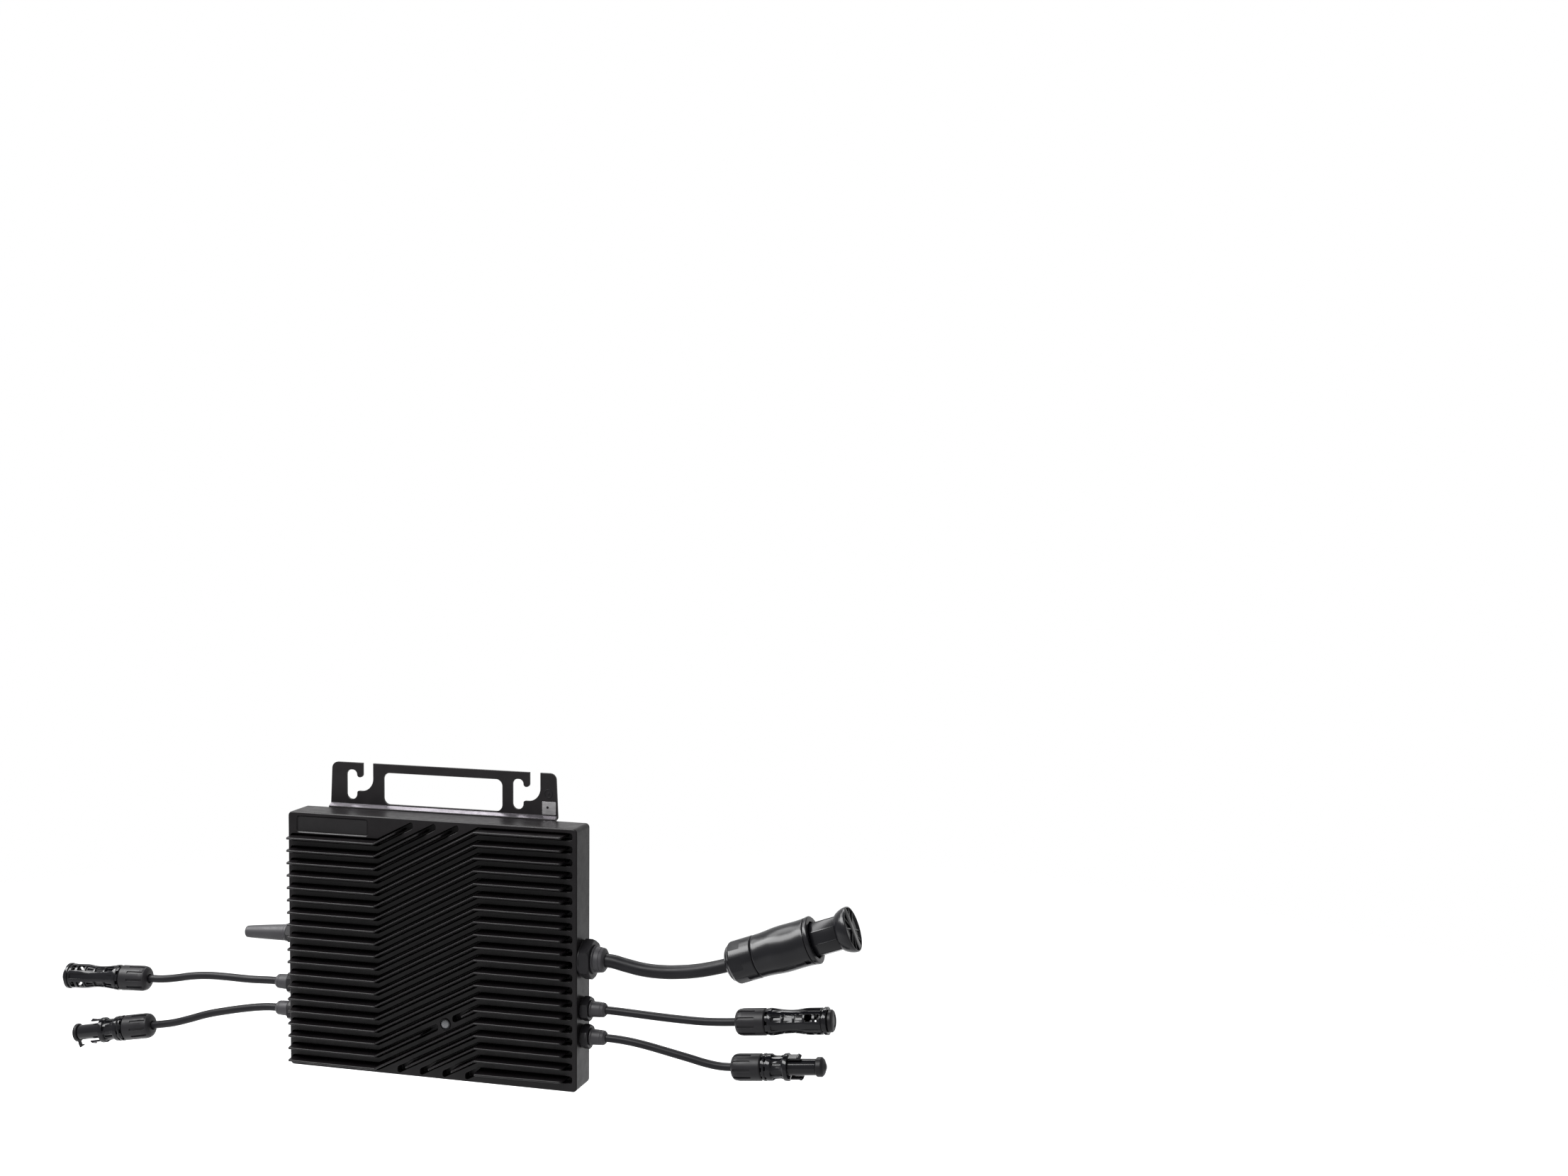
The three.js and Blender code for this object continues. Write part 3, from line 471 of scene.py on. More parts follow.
SHARP = math.radians(42)
FLAT_WEIGHT = 80
# How far a cutter stands out of the face it cuts.
PROUD = 1.0


def piece(name, mesh, place, look, slot, *nodes, body="inverter", flats=True):
    """A shown piece that rides on a CAD body and stands for CAD nodes.

    flats keeps its broad faces flat in the shading; without it the whole surface is round.
    """
    mesh.transform(place)
    mesh.shade_smooth()
    mesh.set_sharp_from_angle(angle=SHARP)
    mesh.materials.clear()
    mesh.materials.append(LOOK[look])
    mesh.name = name
    obj = placed(name, mesh)
    if flats:
        weighted = obj.modifiers.new("normals", "WEIGHTED_NORMAL")
        weighted.keep_sharp = True
        weighted.weight = FLAT_WEIGHT
    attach(obj, body)
    if nodes:
        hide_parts(*nodes)


def lip_steps(lip):
    """(grow, depth) pairs down a rounded edge, from the surface to the wall."""
    angles = [math.pi / 2, math.pi / 3, math.pi / 6, 0.0]
    return [(lip * (1 - math.cos(a)), lip * (1 - math.sin(a))) for a in angles]


def edge_levels(y0, y1, edge):
    """(grow, y) levels of a plate from y0 to y1 whose front and back edges are rounded."""
    near = lip_steps(edge)
    return [(-g, y0 + d) for g, d in near] + [(-g, y1 - d) for g, d in reversed(near)]


def flat_cutter(outline, face_y, floor_y, lip, foot):
    """A cutter for a recess from a flat face to its floor, with a rounded rim and foot."""
    levels = [(lip, face_y - PROUD)] + [(g, face_y + d) for g, d in lip_steps(lip)]
    levels += [(0.0, floor_y - foot), (-0.3 * foot, floor_y - 0.3 * foot), (-foot, floor_y)]
    return stack(outline, levels)


def through_cutter(outline, y0, y1, lip=0.2):
    """A cutter for a hole through a sheet from y0 to y1, with both of its edges rounded."""
    edges = [(-g, y) for g, y in edge_levels(y0, y1, lip)]
    levels = [(lip, y0 - PROUD), *edges, (lip, y1 + PROUD)]
    return stack(outline, levels)


def raised(outline, y0, y1, edge):
    """A plate from y0 to y1 with rounded front and back edges."""
    return stack(outline, edge_levels(y0, y1, edge))


def about(turn):
    """A turn about +X by so many degrees, from +Z towards +Y."""
    return Matrix.Rotation(-math.radians(turn), 4, "X")


def spun(rings, turn):
    """The loft of the rings, turned about +X."""
    mesh = loft(rings)
    mesh.transform(about(turn))
    return mesh


POCKET_PROUD = 1.2
# Farther from the axis than any solar connector's surface.
CLEAR_R = 12.0


def pocket(surface_r, s0, s1, turn, half, depth, corner, lip, foot=0.15):
    """A cutter for a recess in a turned surface, centred turn degrees from +Z towards +Y.

    surface_r(s) is the surface's radius. The recess runs from s0 to s1 and is 2 * half wide.
    """
    outline = rectangle(s0, s1, -half, half, corner)

    def ring(grow, deep):
        points = []
        for s, w in outline(grow):
            radius = surface_r(min(max(s, s0), s1))
            points.append((s, w, math.sqrt(max(radius * radius - w * w, 1.0)) - deep))
        return points

    levels = [(lip, -POCKET_PROUD)] + lip_steps(lip)
    levels += [(0.0, depth - foot), (-0.3 * foot, depth - 0.3 * foot), (-foot, depth)]
    return spun([ring(grow, deep) for grow, deep in levels], turn)


def flat_pocket(s0, s1, turn, half, floor_r):
    """A cutter whose floor is one flat face, floor_r from the axis."""
    outline = rectangle(s0, s1, -half, half, 0.2)(0.0)
    return spun([[(s, w, z) for s, w in outline] for z in (CLEAR_R, floor_r)], turn)


def pockets(count, start, surface_r, s0, s1, *shape):
    """Cutters for equal pockets at even turns around a surface, the first at start degrees."""
    return [pocket(surface_r, s0, s1, start + i * 360 / count, *shape) for i in range(count)]


def bore(start, lip, flare, radius, edge, sides):
    """A cutter for a round bore whose mouth widens from lip on."""
    end = lip + flare
    return turned([(start, 0), (start, radius), (lip, radius), (end, radius + flare), (end, 0)], edge, sides)


def radius_on(profile):
    """The outer radius of a turned profile at s, by straight lines between its points."""
    def at(s):
        for (s0, r0), (s1, r1) in zip(profile, profile[1:]):
            if s0 <= s <= s1 and s1 > s0:
                return r0 + (r1 - r0) * (s - s0) / (s1 - s0)
        return profile[-1][1]

    return at


# ---- leads

GRID_R = 5.0
LEAD_R = 2.9
STEPS_ALONG = 6
STEPS_AROUND = 9

# Each lead's centre line, from inside its sleeve to inside its connector's nut.
ROUTES = {
    "right_upper": [
        (132.7, 0, 58.7), (139, 0, 58.6), (155, 0, 58), (175, 0, 57.2), (192, 0, 56.8), (206, 0, 56.8),
        (219, 0, 57.5), (229, 0, 58.4), (231.9, 0, 58.69), (234.88, 0, 58.98),
    ],
    "right_lower": [
        (132.7, 0, 38.2), (139, 0, 38.1), (148, 0, 37.5), (156, 0, 36.6), (166, 0, 35), (176, 0, 33.1),
        (196, 0, 29.2), (209, 0, 26.6), (219, 0, 25.5), (226.5, 0, 25.6), (229, 0, 25.8),
        (231.98, 0, 26.08),
    ],
    "left_upper": [
        (-132.7, 0, 58.7), (-139, 0, 58.6), (-155, 0, 58), (-178, 0, 58.2), (-192, 0, 57.9),
        (-206, -0.1, 56.4), (-221, -0.3, 53.6), (-232, -0.6, 52.1), (-240, -0.9, 51.8),
        (-243.5, -1.1, 51.68), (-246.09, -1.32, 51.62),
    ],
    "left_lower": [
        (-132.7, 0, 38.2), (-139, 0, 38), (-147, 0, 37.2), (-155, 0, 36), (-177, 0, 31.6),
        (-194, 0, 27.4), (-208, -0.1, 22.8), (-222, -0.3, 18.6), (-232, -0.6, 16.6),
        (-239, -0.9, 15.5), (-241.5, -1.1, 15.1), (-243.94, -1.32, 14.72),
    ],
    "grid": [
        (133, 0, 95.2), (138, 0, 94.8), (147, 0, 93), (161, 0, 90.7), (175, 0, 90.2), (188, 0, 91.1),
        (202, 0, 93.2), (213, 0, 95.8), (222, 0, 98.4), (225.5, 0, 99.57), (228.79, 0, 100.75),
    ],
}


def lead_radius(name):
    return GRID_R if name == "grid" else LEAD_R


def make_lead(name):
    """The sheath of a lead, as a round curve along its route."""
    data = bpy.data.curves.new(f"{name}_lead", "CURVE")
    data.dimensions = "3D"
    data.resolution_u = STEPS_ALONG
    data.bevel_depth = lead_radius(name) * MM
    data.bevel_resolution = STEPS_AROUND
    data.use_fill_caps = True
    spline = data.splines.new("BEZIER")
    route = ROUTES[name]
    spline.bezier_points.add(len(route) - 1)
    for knot, point in zip(spline.bezier_points, route):
        knot.co = HOUSING @ Vector(point)
        knot.handle_left_type = knot.handle_right_type = "AUTO"
    data.materials.append(LOOK["sheath"])
    obj = placed(f"{name}_lead", data)
    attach(obj, "inverter")
    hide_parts(f"{name}_cable")
    return obj


LEADS = {name: make_lead(name) for name in ROUTES}

# ---- housing

FRONT_Y, BACK_Y = -13.0, 13.0
CORNER_R, EDGE_R = 3.2, 1.1
FIN_PITCH = 9.327
SLOT_HALF = 2.62
SLOT_FLOOR_Y = -6.0
SLOT_LEFT_X, SLOT_RIGHT_X = -113.0, 111.5
FIN_LEFT_X, FIN_RIGHT_X = -113.6, 106.5
KNEE_LEFT_X, KNEE_RIGHT_X = -41.7, 38.3
KNEE_ROOM = 3
LEFT_TOP_Z, RIGHT_TOP_Z = 173.0, 186.2
RISE_ROWS = 3
RAMP_TOP_Z, RAMP_FOOT_Z = 187.6, 3.6
LEFT_ROWS, RIGHT_ROWS = 19, 20
FIN_SHORT = 9.0
LIGHT_X, LIGHT_Z = 12.0, 41.4
RING_R, WELL_R = 4.4, 3.6
LIGHT_ROW = 17
BOSS_HALF_X = 5.9
SLOPE = (RIGHT_TOP_Z + RISE_ROWS * FIN_PITCH - LEFT_TOP_Z) / (KNEE_RIGHT_X - KNEE_LEFT_X)

# The height of each opening in the side walls.
GRID_Z, UPPER_Z, LOWER_Z, ANTENNA_Z = 95.2, 58.7, 38.2, 97.0
# Side, height and radius of every opening.
OPENINGS = (
    (1, GRID_Z, 8.2), (1, UPPER_Z, 4.8), (1, LOWER_Z, 4.8),
    (-1, ANTENNA_Z, 4.8), (-1, UPPER_Z, 4.8), (-1, LOWER_Z, 4.8),
)

COVER_X, COVER_Z0, COVER_Z1 = 111.3, 3.7, 188.3
COVER_FRONT_Y = 11.3
BOSS_R, SCREW_R = 4.2, 1.8
# Each screw's x and z, and the y of its head's underside.
SCREWS = {
    "screw_upper_left": (-84.0, 181.0, 15.7),
    "screw_upper_right": (76.0, 181.0, 15.7),
    "screw_lower_left": (-105.0, 10.5, 13.3),
    "screw_lower_right": (105.0, 10.5, 13.3),
}


def row_line(k):
    """The centre line of left row k and the right row it climbs to."""
    left_z = LEFT_TOP_Z - k * FIN_PITCH
    right_z = left_z + SLOPE * (KNEE_RIGHT_X - KNEE_LEFT_X)
    if k < LEFT_ROWS:
        line = [(SLOT_LEFT_X, left_z), (KNEE_LEFT_X, left_z)]
    else:
        line = [(KNEE_RIGHT_X - (right_z - RAMP_FOOT_Z) / SLOPE, RAMP_FOOT_Z)]
    if k >= RISE_ROWS:
        return line + [(KNEE_RIGHT_X, right_z), (SLOT_RIGHT_X, right_z)]
    return line + [(KNEE_LEFT_X + (RAMP_TOP_Z - left_z) / SLOPE, RAMP_TOP_Z)]


def point_at(line, x):
    """The point of a line of (x, z) points at x."""
    for (x0, z0), (x1, z1) in zip(line, line[1:]):
        if x <= x1:
            break
    return (x, z0 + (x - x0) * (z1 - z0) / (x1 - x0))


def between(line, x0, x1):
    """The stretch of a line from x0 to x1. A knee too near either end is left out."""
    inner = [p for p in line[1:-1] if x0 + KNEE_ROOM < p[0] < x1 - KNEE_ROOM]
    return [point_at(line, x0), *inner, point_at(line, x1)]


def slots_and_fins():
    """Every slot's centre line, and its fin's, which stops short of the slot's free ends."""
    slots, fins = [], []
    for k in range(RIGHT_ROWS + RISE_ROWS):
        line = row_line(k)
        start, end = line[0][0], line[-1][0]
        fin_start = FIN_LEFT_X if k < LEFT_ROWS else start + FIN_SHORT
        fin_end = end - FIN_SHORT if k < RISE_ROWS else FIN_RIGHT_X
        spans = [(start, end, fin_start, fin_end)]
        if k == LIGHT_ROW:
            left, right = LIGHT_X - BOSS_HALF_X, LIGHT_X + BOSS_HALF_X
            spans = [
                (start, left, fin_start, left - FIN_SHORT),
                (right, end, right + FIN_SHORT, fin_end),
            ]
        for slot_start, slot_end, x0, x1 in spans:
            slots.append(between(line, slot_start, slot_end))
            fins.append(between(line, x0, x1))
    return slots, fins


def zigzag(line, half, end_r, knee_r):
    """outline(grow) of a bar of constant height along a line of (x, z) points."""
    def outline(grow):
        tall = half + grow
        points = list(line)
        points[0] = (points[0][0] - grow, points[0][1])
        points[-1] = (points[-1][0] + grow, points[-1][1])
        low = [(x, z - tall) for x, z in points]
        high = [(x, z + tall) for x, z in reversed(points)]
        ends = {0, len(points) - 1, len(points), 2 * len(points) - 1}
        end_arc = max(end_r + grow, SMALLEST_R)
        radii = [end_arc if i in ends else knee_r for i in range(2 * len(points))]
        return rounded(low + high, radii)

    return outline


FIN_ROOT_HALF, FIN_TIP_HALF, FIN_TIP_R = 1.0, 0.78, 0.72
CREST_ANGLES = (22, 45, 66, 82)


def fin_mesh(line):
    """A fin, thicker at its root, with a rounded crest and ends that round off towards the crest."""
    narrow = FIN_ROOT_HALF - FIN_TIP_HALF
    levels = [
        (0.0, SLOT_FLOOR_Y + 0.6, 0.0), (-narrow, FIN_TIP_Y + 3, 0.3),
        (-narrow, FIN_TIP_Y + FIN_TIP_R, 0.9),
    ]
    for angle in CREST_ANGLES:
        a = math.radians(angle)
        side, front = 1 - math.cos(a), 1 - math.sin(a)
        levels.append((-narrow - FIN_TIP_R * side, FIN_TIP_Y + FIN_TIP_R * front, 0.9 + 1.1 * side))
    rings = []
    for grow, y, short in levels:
        kept = between(line, line[0][0] + short, line[-1][0] - short)
        rings.append([(x, y, z) for x, z in zigzag(kept, FIN_ROOT_HALF, 0.5, 1.2)(grow)])
    return loft(rings)


HOLE_SIDES = 48


def rod_y(x, z, y0, y1, radius, edge=0.0):
    """A rod along +Y, with its front edge rounded where an edge is given."""
    steps = lip_steps(edge) if edge else [(0.0, 0.0)]
    rows_y = [(radius - g, y0 + d) for g, d in steps] + [(radius, y1)]
    turns = around(HOLE_SIDES)
    return loft([[(x + r * math.cos(t), y, z + r * math.sin(t)) for t in turns] for r, y in rows_y])


def box_mesh(x0, x1, y0, y1, z0, z1, radius):
    return stack(rectangle(x0, x1, z0, z1, radius), ((0.0, y0), (0.0, y1)))


def screw_holes(y0, y1):
    return [rod_y(x, z, y0, y1, SCREW_R) for x, z, _ in SCREWS.values()]


def side_hole(side, z, radius):
    """A cutter for a round hole through the right (1) or left (-1) wall."""
    mesh = rod(106, 116, radius, HOLE_SIDES)
    mesh.transform(Matrix.Translation((0, 0, z)) @ Matrix.Scale(side, 4, (1, 0, 0)))
    if side < 0:
        mesh.flip_normals()
    return mesh


def bevelled_recess(x0, x1, z0, z1, corner, bevel):
    """A cutter for a shallow recess in the front whose four walls slope."""
    soft = 0.16
    levels = [
        (bevel + soft, -PROUD), (bevel + soft, 0.0), (bevel + 0.3 * soft, 0.3 * soft),
        (bevel - soft, soft), (0.0, bevel),
    ]
    return stack(rectangle(x0, x1, z0, z1, corner), [(g, FRONT_Y + d) for g, d in levels])


def housing_mesh():
    """The casting: an open-backed shell with screw bosses, slots, fins, plate recess and light ring."""
    half = WIDTH / 2
    shell = raised(rectangle(-half, half, 0, HEIGHT, CORNER_R), FRONT_Y, BACK_Y, EDGE_R)
    cavity = box_mesh(-109, 109, -4.2, 11, 6, 186, 2)
    cover_seat = box_mesh(-111.6, 111.6, 10, 14, 3.4, 188.6, 2)
    bosses = [rod_y(x, z, -4.6, 10, BOSS_R) for x, z, _ in SCREWS.values()]
    slots, fins = slots_and_fins()
    slot_cutters = []
    for line in slots:
        outline = zigzag(line, SLOT_HALF, 1.9, 0.8)
        slot_cutters.append(flat_cutter(outline, FRONT_Y, SLOT_FLOOR_Y, 0.42, 0.7))
    recess = bevelled_recess(-107.4, -50.0, 177.3, 188.7, 1.6, 0.75)
    ring = rod_y(LIGHT_X, LIGHT_Z, FRONT_Y - 0.8, FRONT_Y + 1, RING_R, 0.35)
    well = rod_y(LIGHT_X, LIGHT_Z, FRONT_Y - 2, -3, WELL_R)
    solid = join(cut(shell, cavity, cover_seat), *bosses)
    solid = cut(solid, *slot_cutters, recess)
    solid = join(solid, *[fin_mesh(line) for line in fins], ring)
    return cut(solid, well, *screw_holes(2, 14), *[side_hole(*opening) for opening in OPENINGS])


piece("housing_shell", housing_mesh(), HOUSING, "cast", "housing", "housing")

# Turns a solid made along +X so that it points to the rear.
BACKWARD = Matrix.Rotation(math.pi / 2, 4, "Z")


def lens_mesh():
    """A light pipe with a rounded front edge."""
    profile = [(0, 0), (0, 2.2), (0.18, 2.9), (0.6, 3.3), (8.8, 3.3), (8.8, 0)]
    mesh = lathe(profile, 48)
    mesh.transform(Matrix.Translation((LIGHT_X, FRONT_Y - 0.5, LIGHT_Z)) @ BACKWARD)
    return mesh


piece("light_pipe", lens_mesh(), HOUSING, "lens", "lens", "status_lens")
plate = raised(rectangle(-106.9, -50.5, 177.8, 188.2, 1.2), FRONT_Y + 0.55, FRONT_Y + 0.74, 0.05)
piece("rating_label", plate, HOUSING, "label", "plate", "rating_plate")


def cover_mesh():
    """The flat rear cover with its screw holes."""
    outline = rectangle(-COVER_X, COVER_X, COVER_Z0, COVER_Z1, 1.6)
    return cut(raised(outline, COVER_FRONT_Y, BACK_Y, 0.3), *screw_holes(10, 14))


piece("rear_cover", cover_mesh(), HOUSING, "sheet", "sheet", "back_cover")


SHANK_Y = 4


def screw_mesh(x, z, seat_y):
    """A pan head with a cross recess, seen from behind, and its shank."""
    rim, top = seat_y - 2.9, seat_y - 2.4
    seat = seat_y - SHANK_Y
    head = turned([(0, 0), (0, 1.4), (seat, 1.4), (seat, 3.0), (rim, 3.0), (top, 0)], 0.5, 40)
    head.transform(Matrix.Translation((x, SHANK_Y, z)) @ BACKWARD)
    deep = (seat_y + 0.7, seat_y + 3)
    bars = [
        box_mesh(x - wide, x + wide, *deep, z - tall, z + tall, 0.15)
        for wide, tall in ((1.7, 0.34), (0.34, 1.7))
    ]
    return cut(cut(head, bars[0]), bars[1])


for screw, place in SCREWS.items():
    piece(f"{screw}_head", screw_mesh(*place), HOUSING, "steel", "screw", screw)

# ---- hook bracket

SHEET_FRONT_Y, SHEET_BACK_Y = 17.0, 19.0
SHEET_LEFT_X, SHEET_RIGHT_X = -95.8, 88.2
SHEET_FOOT_Z, JOGGLE_Z, SHEET_TOP_Z = 165, 192.6, 225.9
SHEET_EDGE = 0.25
HOOK_X = (-82.5, 52.5)


def hook_outline(x):
    """A keyhole, the tongue beside it, and the entry that sweeps into the keyhole from the top."""
    top = SHEET_TOP_Z + 4
    points = [
        (x, 198.1), (x + 8.7, 198.1), (x + 8.7, 204.6), (x + 22, 204.6), (x + 22, top),
        (x + 13.5, top), (x + 13.5, 215.1), (x + 8.7, 215.1), (x + 8.7, 220.5), (x, 220.5),
    ]
    radii = [4.2, 4.2, 1.5, 9.6, 0, 0, 2.1, 2.1, 4.2, 4.2]
    signs = [(-1, -1), (1, -1), (1, -1), (1, -1), (1, 0), (-1, 0), (-1, -1), (1, -1), (1, 1), (-1, 1)]

    def outline(grow):
        grown = [(px + sx * grow, pz + sz * grow) for (px, pz), (sx, sz) in zip(points, signs)]
        return rounded(grown, radii, step=FINE_STEP)

    return outline


def sheet_outline(grow):
    """The sheet seen from the front, its sides sloping in a little above the joggle."""
    left, right = SHEET_LEFT_X - grow, SHEET_RIGHT_X + grow
    foot, top = SHEET_FOOT_Z - grow, SHEET_TOP_Z + grow
    points = [
        (left, foot), (right, foot), (right, JOGGLE_Z), (right - 1.5, top), (left + 1.5, top),
        (left, JOGGLE_Z),
    ]
    return rounded(points, [5, 5, 0, 5, 5, 0], step=FINE_STEP)


def bent_sheet():
    """The sheet's section, with round bends at the joggle, drawn out along x."""
    section = [
        (13.4, 164), (15.4, 164), (15.4, 191.2), (19, 193.2), (19, 228),
        (17, 228), (17, 194.6), (13.4, 192.6),
    ]
    line = rounded(section, [0, 0, 1.2, 1.2, 0, 0, 0.5, 0.5])
    return loft([[(x, y, z) for y, z in line] for x in (-98, 92)])


def bracket_mesh():
    """The bent sheet with its outline, window, hook slots and screw holes."""
    faces = (SHEET_FRONT_Y, SHEET_BACK_Y)
    levels = [(-SHEET_EDGE, 12.0)] + edge_levels(*faces, SHEET_EDGE) + [(-SHEET_EDGE, 20.0)]
    blank = stack(sheet_outline, levels)
    window = through_cutter(rectangle(-51.9, 44.4, 195.6, 219.4, 5), *faces)
    hooks = [through_cutter(hook_outline(x), *faces) for x in HOOK_X]
    return cut(common(bent_sheet(), blank), window, *hooks, *screw_holes(10, 21))


piece("bracket_sheet", bracket_mesh(), HOUSING, "sheet", "sheet", "hook_bracket")


def bend_sheen_mesh():
    """A thin strip on the slope of the sheet's joggle, just above the housing: brushed metal, shinier than
    the black sheet, a painted sheen for the highlight the light makes there.
    """
    slope = [(13.6, 192.6), (17.0, 194.5), (16.9, 194.75), (13.5, 192.85)]
    return loft([[(x, y, z) for y, z in slope] for x in (-95.3, 87.7)])


# A shinier strip over the joggle, a painted sheen on the black sheet.
piece("bracket_bend_painted_sheen", bend_sheen_mesh(), HOUSING, "bend", "bare_sheet")


def earth_patch_mesh():
    """A thin patch of bare metal with a pilot hole."""
    patch = raised(rectangle(76.1, 86.9, 195.3, 204.9, 0.5), 16.72, 16.97, 0.06)
    return cut(patch, rod_y(80.4, 200.6, 16, 18, 0.95))


piece("earth_patch", earth_patch_mesh(), HOUSING, "bare", "bare_sheet", "earth_pad")


def stamped_ring():
    """A plain raised ring with a dot, above the earth patch."""
    ring = turned([(0, 2.75), (0.22, 2.75), (0.22, 3.35), (0, 3.35)], 0.1, 48, closed=True)
    dot = rod(0, 0.22, 0.9, 32, 0.1)
    both = gather([ring, dot])
    both.transform(Matrix.Translation((80.9, SHEET_FRONT_Y, 210.8)) @ Matrix.Rotation(-math.pi / 2, 4, "Z"))
    return both


piece("earth_mark", stamped_ring(), HOUSING, "matt", "sheet")

# ---- wall glands

WALL_X = 115.0
STEM_S = -5.5


def side_place(side, z):
    """A frame on the right (1) or left (-1) wall, with +X pointing out of it."""
    outward = Matrix.Rotation(0 if side > 0 else math.pi, 4, "Z")
    return HOUSING @ Matrix.Translation((side * WALL_X, 0, z)) @ outward


def hexagon(s0, s1, corners, turn=0.0):
    """A hexagon nut with chamfered corners. corners is its width across them."""
    r = corners / 2
    angles = [math.radians(60 * i + turn) for i in range(6)]
    bar = loft([[(s, r * math.cos(a), r * math.sin(a)) for a in angles] for s in (s0, s1)])
    end_r, wide_r = r * 0.9, r * 1.005
    chamfer = 0.1 * r
    profile = [
        (s0, 0), (s0, end_r), (s0 + chamfer, wide_r), (s1 - chamfer, wide_r), (s1, end_r), (s1, 0),
    ]
    return common(bar, turned(profile, 0.15, 72))


def gland_mesh(corners, tall, stem_r):
    """A washer, a hexagon nut and a stem through the wall."""
    washer = rod(0.02, 0.9, corners * 0.45, 64, 0.2)
    nut = hexagon(0.8, 0.3 + tall, corners, 30)
    return join(join(nut, washer), rod(STEM_S, 0.5, stem_r, 40))


def sleeve_mesh(s0, s1, radius, lead_r):
    """A soft sleeve: a collar, a slight taper, two shallow rings and a lip that hugs the lead."""
    hug = lead_r + 0.06
    profile = [
        (s0, 0), (s0, radius * 1.14), (s0 + 1.3, radius * 1.14), (s0 + 1.8, radius * 1.03),
        (s1 - 3.4, radius * 0.99), (s1 - 3.1, radius * 0.95), (s1 - 2.7, radius * 0.95),
        (s1 - 2.4, radius * 0.98), (s1 - 0.9, radius * 0.93), (s1 + 0.2, radius * 0.76),
        (s1 + 0.7, hug + 0.5), (s1 + 0.7, hug), (s1 - 0.2, hug), (s1 - 0.2, 0),
    ]
    return turned(profile, 0.35, 72)


SIDES = {
    "right_upper": (1, UPPER_Z), "right_lower": (1, LOWER_Z),
    "left_upper": (-1, UPPER_Z), "left_lower": (-1, LOWER_Z), "grid": (1, GRID_Z),
}
SOLAR = [name for name in SIDES if name != "grid"]
# The sizes of a lead's gland and of its sleeve.
SOLAR_FITTING = (18.6, 5.8, 4.4), (6.2, 17.4, 5.5, LEAD_R)
GRID_FITTING = (29.8, 8.4, 7.8), (8.8, 17.3, 9.2, GRID_R)
for name, (side, height) in SIDES.items():
    place = side_place(side, height)
    gland, sleeve = SOLAR_FITTING if name in SOLAR else GRID_FITTING
    piece(f"{name}_gland_nut", gland_mesh(*gland), place, "matt", "gland", f"{name}_gland")
    piece(f"{name}_boot", sleeve_mesh(*sleeve), place, "rubber", "soft_black", f"{name}_sleeve")

# ---- antenna

ANTENNA_LEAN = math.radians(2.9)

antenna_place = side_place(-1, ANTENNA_Z) @ Matrix.Rotation(ANTENNA_LEAN, 4, "Y")


def antenna_stub():
    profile = [(7.4, 0), (7.4, 6.5), (9.2, 6.5), (9.8, 6.15), (24, 5.5), (38, 4.75), (43, 4.3), (43, 0)]
    return turned(profile, [0, 0.3, 0.3, 0.5, 6, 6, 1.6, 0], 64)


def antenna_base():
    return join(hexagon(0.5, 7.2, 15), rod(STEM_S, 1, 4.4, 40))


piece("antenna_base", antenna_base(), antenna_place, "matt", "gland", "antenna_ferrule")
piece("antenna_rubber", antenna_stub(), antenna_place, "rubber", "soft_black", "antenna_stub")

# ---- solar connectors

NUT_OUTER = [
    (0, 3.9), (0.2, 6.0), (0.8, 7.5), (1.9, 8.7), (3.4, 9.3), (5.6, 9.6), (21.7, 9.6), (22.6, 8.8),
]
GROOVES = 10


def nut_mesh():
    """A domed nut with ten grip grooves."""
    inner = [(22.6, 7.7), (3.7, 7.7), (3.7, 3.4), (0.3, 3.4)]
    blank = turned(NUT_OUTER + inner, 0.25, 120, closed=True)
    return cut(blank, *pockets(GROOVES, 0, radius_on(NUT_OUTER), 2.7, 15.3, 0.85, 0.75, 0.5, 0.2, 0.2))


def collar_slots(surface_r, s0, s1, start):
    """Slots around the ring where the nut meets the body, with webs between them."""
    return pockets(4, start, surface_r, s0, s1, 5.2, 2.2, 0.4, 0.1, 0.1)


SOCKET_WAIST = [
    (26.8, 9.65), (30, 9.2), (34, 8.6), (38, 8.25), (42, 8.15), (46, 8.4), (49, 8.85), (52, 9.25),
    (55, 9.4),
]
SOCKET_OUTER = [
    (22.9, 9.3), (25.0, 9.3), (25.0, 9.7), *eased(SOCKET_WAIST), (59, 9.4), (63.7, 9.4), (63.7, 8.7),
    (65.2, 8.7), (65.2, 9.8), (67.6, 9.8),
]
SOCKET_BORE_R = 6.2
# Where each pocket of a ladder starts and ends.
LADDER = ((27.9, 34.7), (36.2, 43.0), (44.5, 50.7))
# The radius and length of each sealing plug's rim.
SOCKET_CAP = {"right_upper": (7.9, 3.8), "left_upper": (6.7, 3.0)}


def socket_mesh():
    """A waisted grip: on four sides a ladder of pockets and a see-through window, and strips between."""
    profile = [(4, 0), (4, 7.3), (22.9, 7.3), *SOCKET_OUTER, (67.6, 0)]
    blank = turned(profile, 0.28, 120)
    on = radius_on(SOCKET_OUTER)
    tools = [bore(40, 67.1, 1.3, SOCKET_BORE_R, 0.1, 96), *collar_slots(on, 23.0, 24.7, 45)]
    steps = []
    for side in (0, 90, 180, 270):
        for s0, s1 in LADDER:
            tools.append(pocket(on, s0, s1, side, 2.6, 0.9, 0.4, 0.22))
            steps.append(flat_pocket(s0 + 0.6, s1 - 0.6, side, 1.05, 6.75))
        tools.append(pocket(on, 52.2, 57.4, side, 2.65, 4.4, 0.4, 0.2))
        tools.append(pocket(on, 59.5, 62.6, side, 2.65, 2.0, 0.4, 0.2))
    strips = pockets(4, 45, on, 27.4, 63.0, 2.0, 0.9, 0.6, 0.2)
    chamber = rod(51.9, 65.0, 7.7, 96, 0.1)
    return cut(cut(cut(blank, *tools), *steps, *strips), chamber)


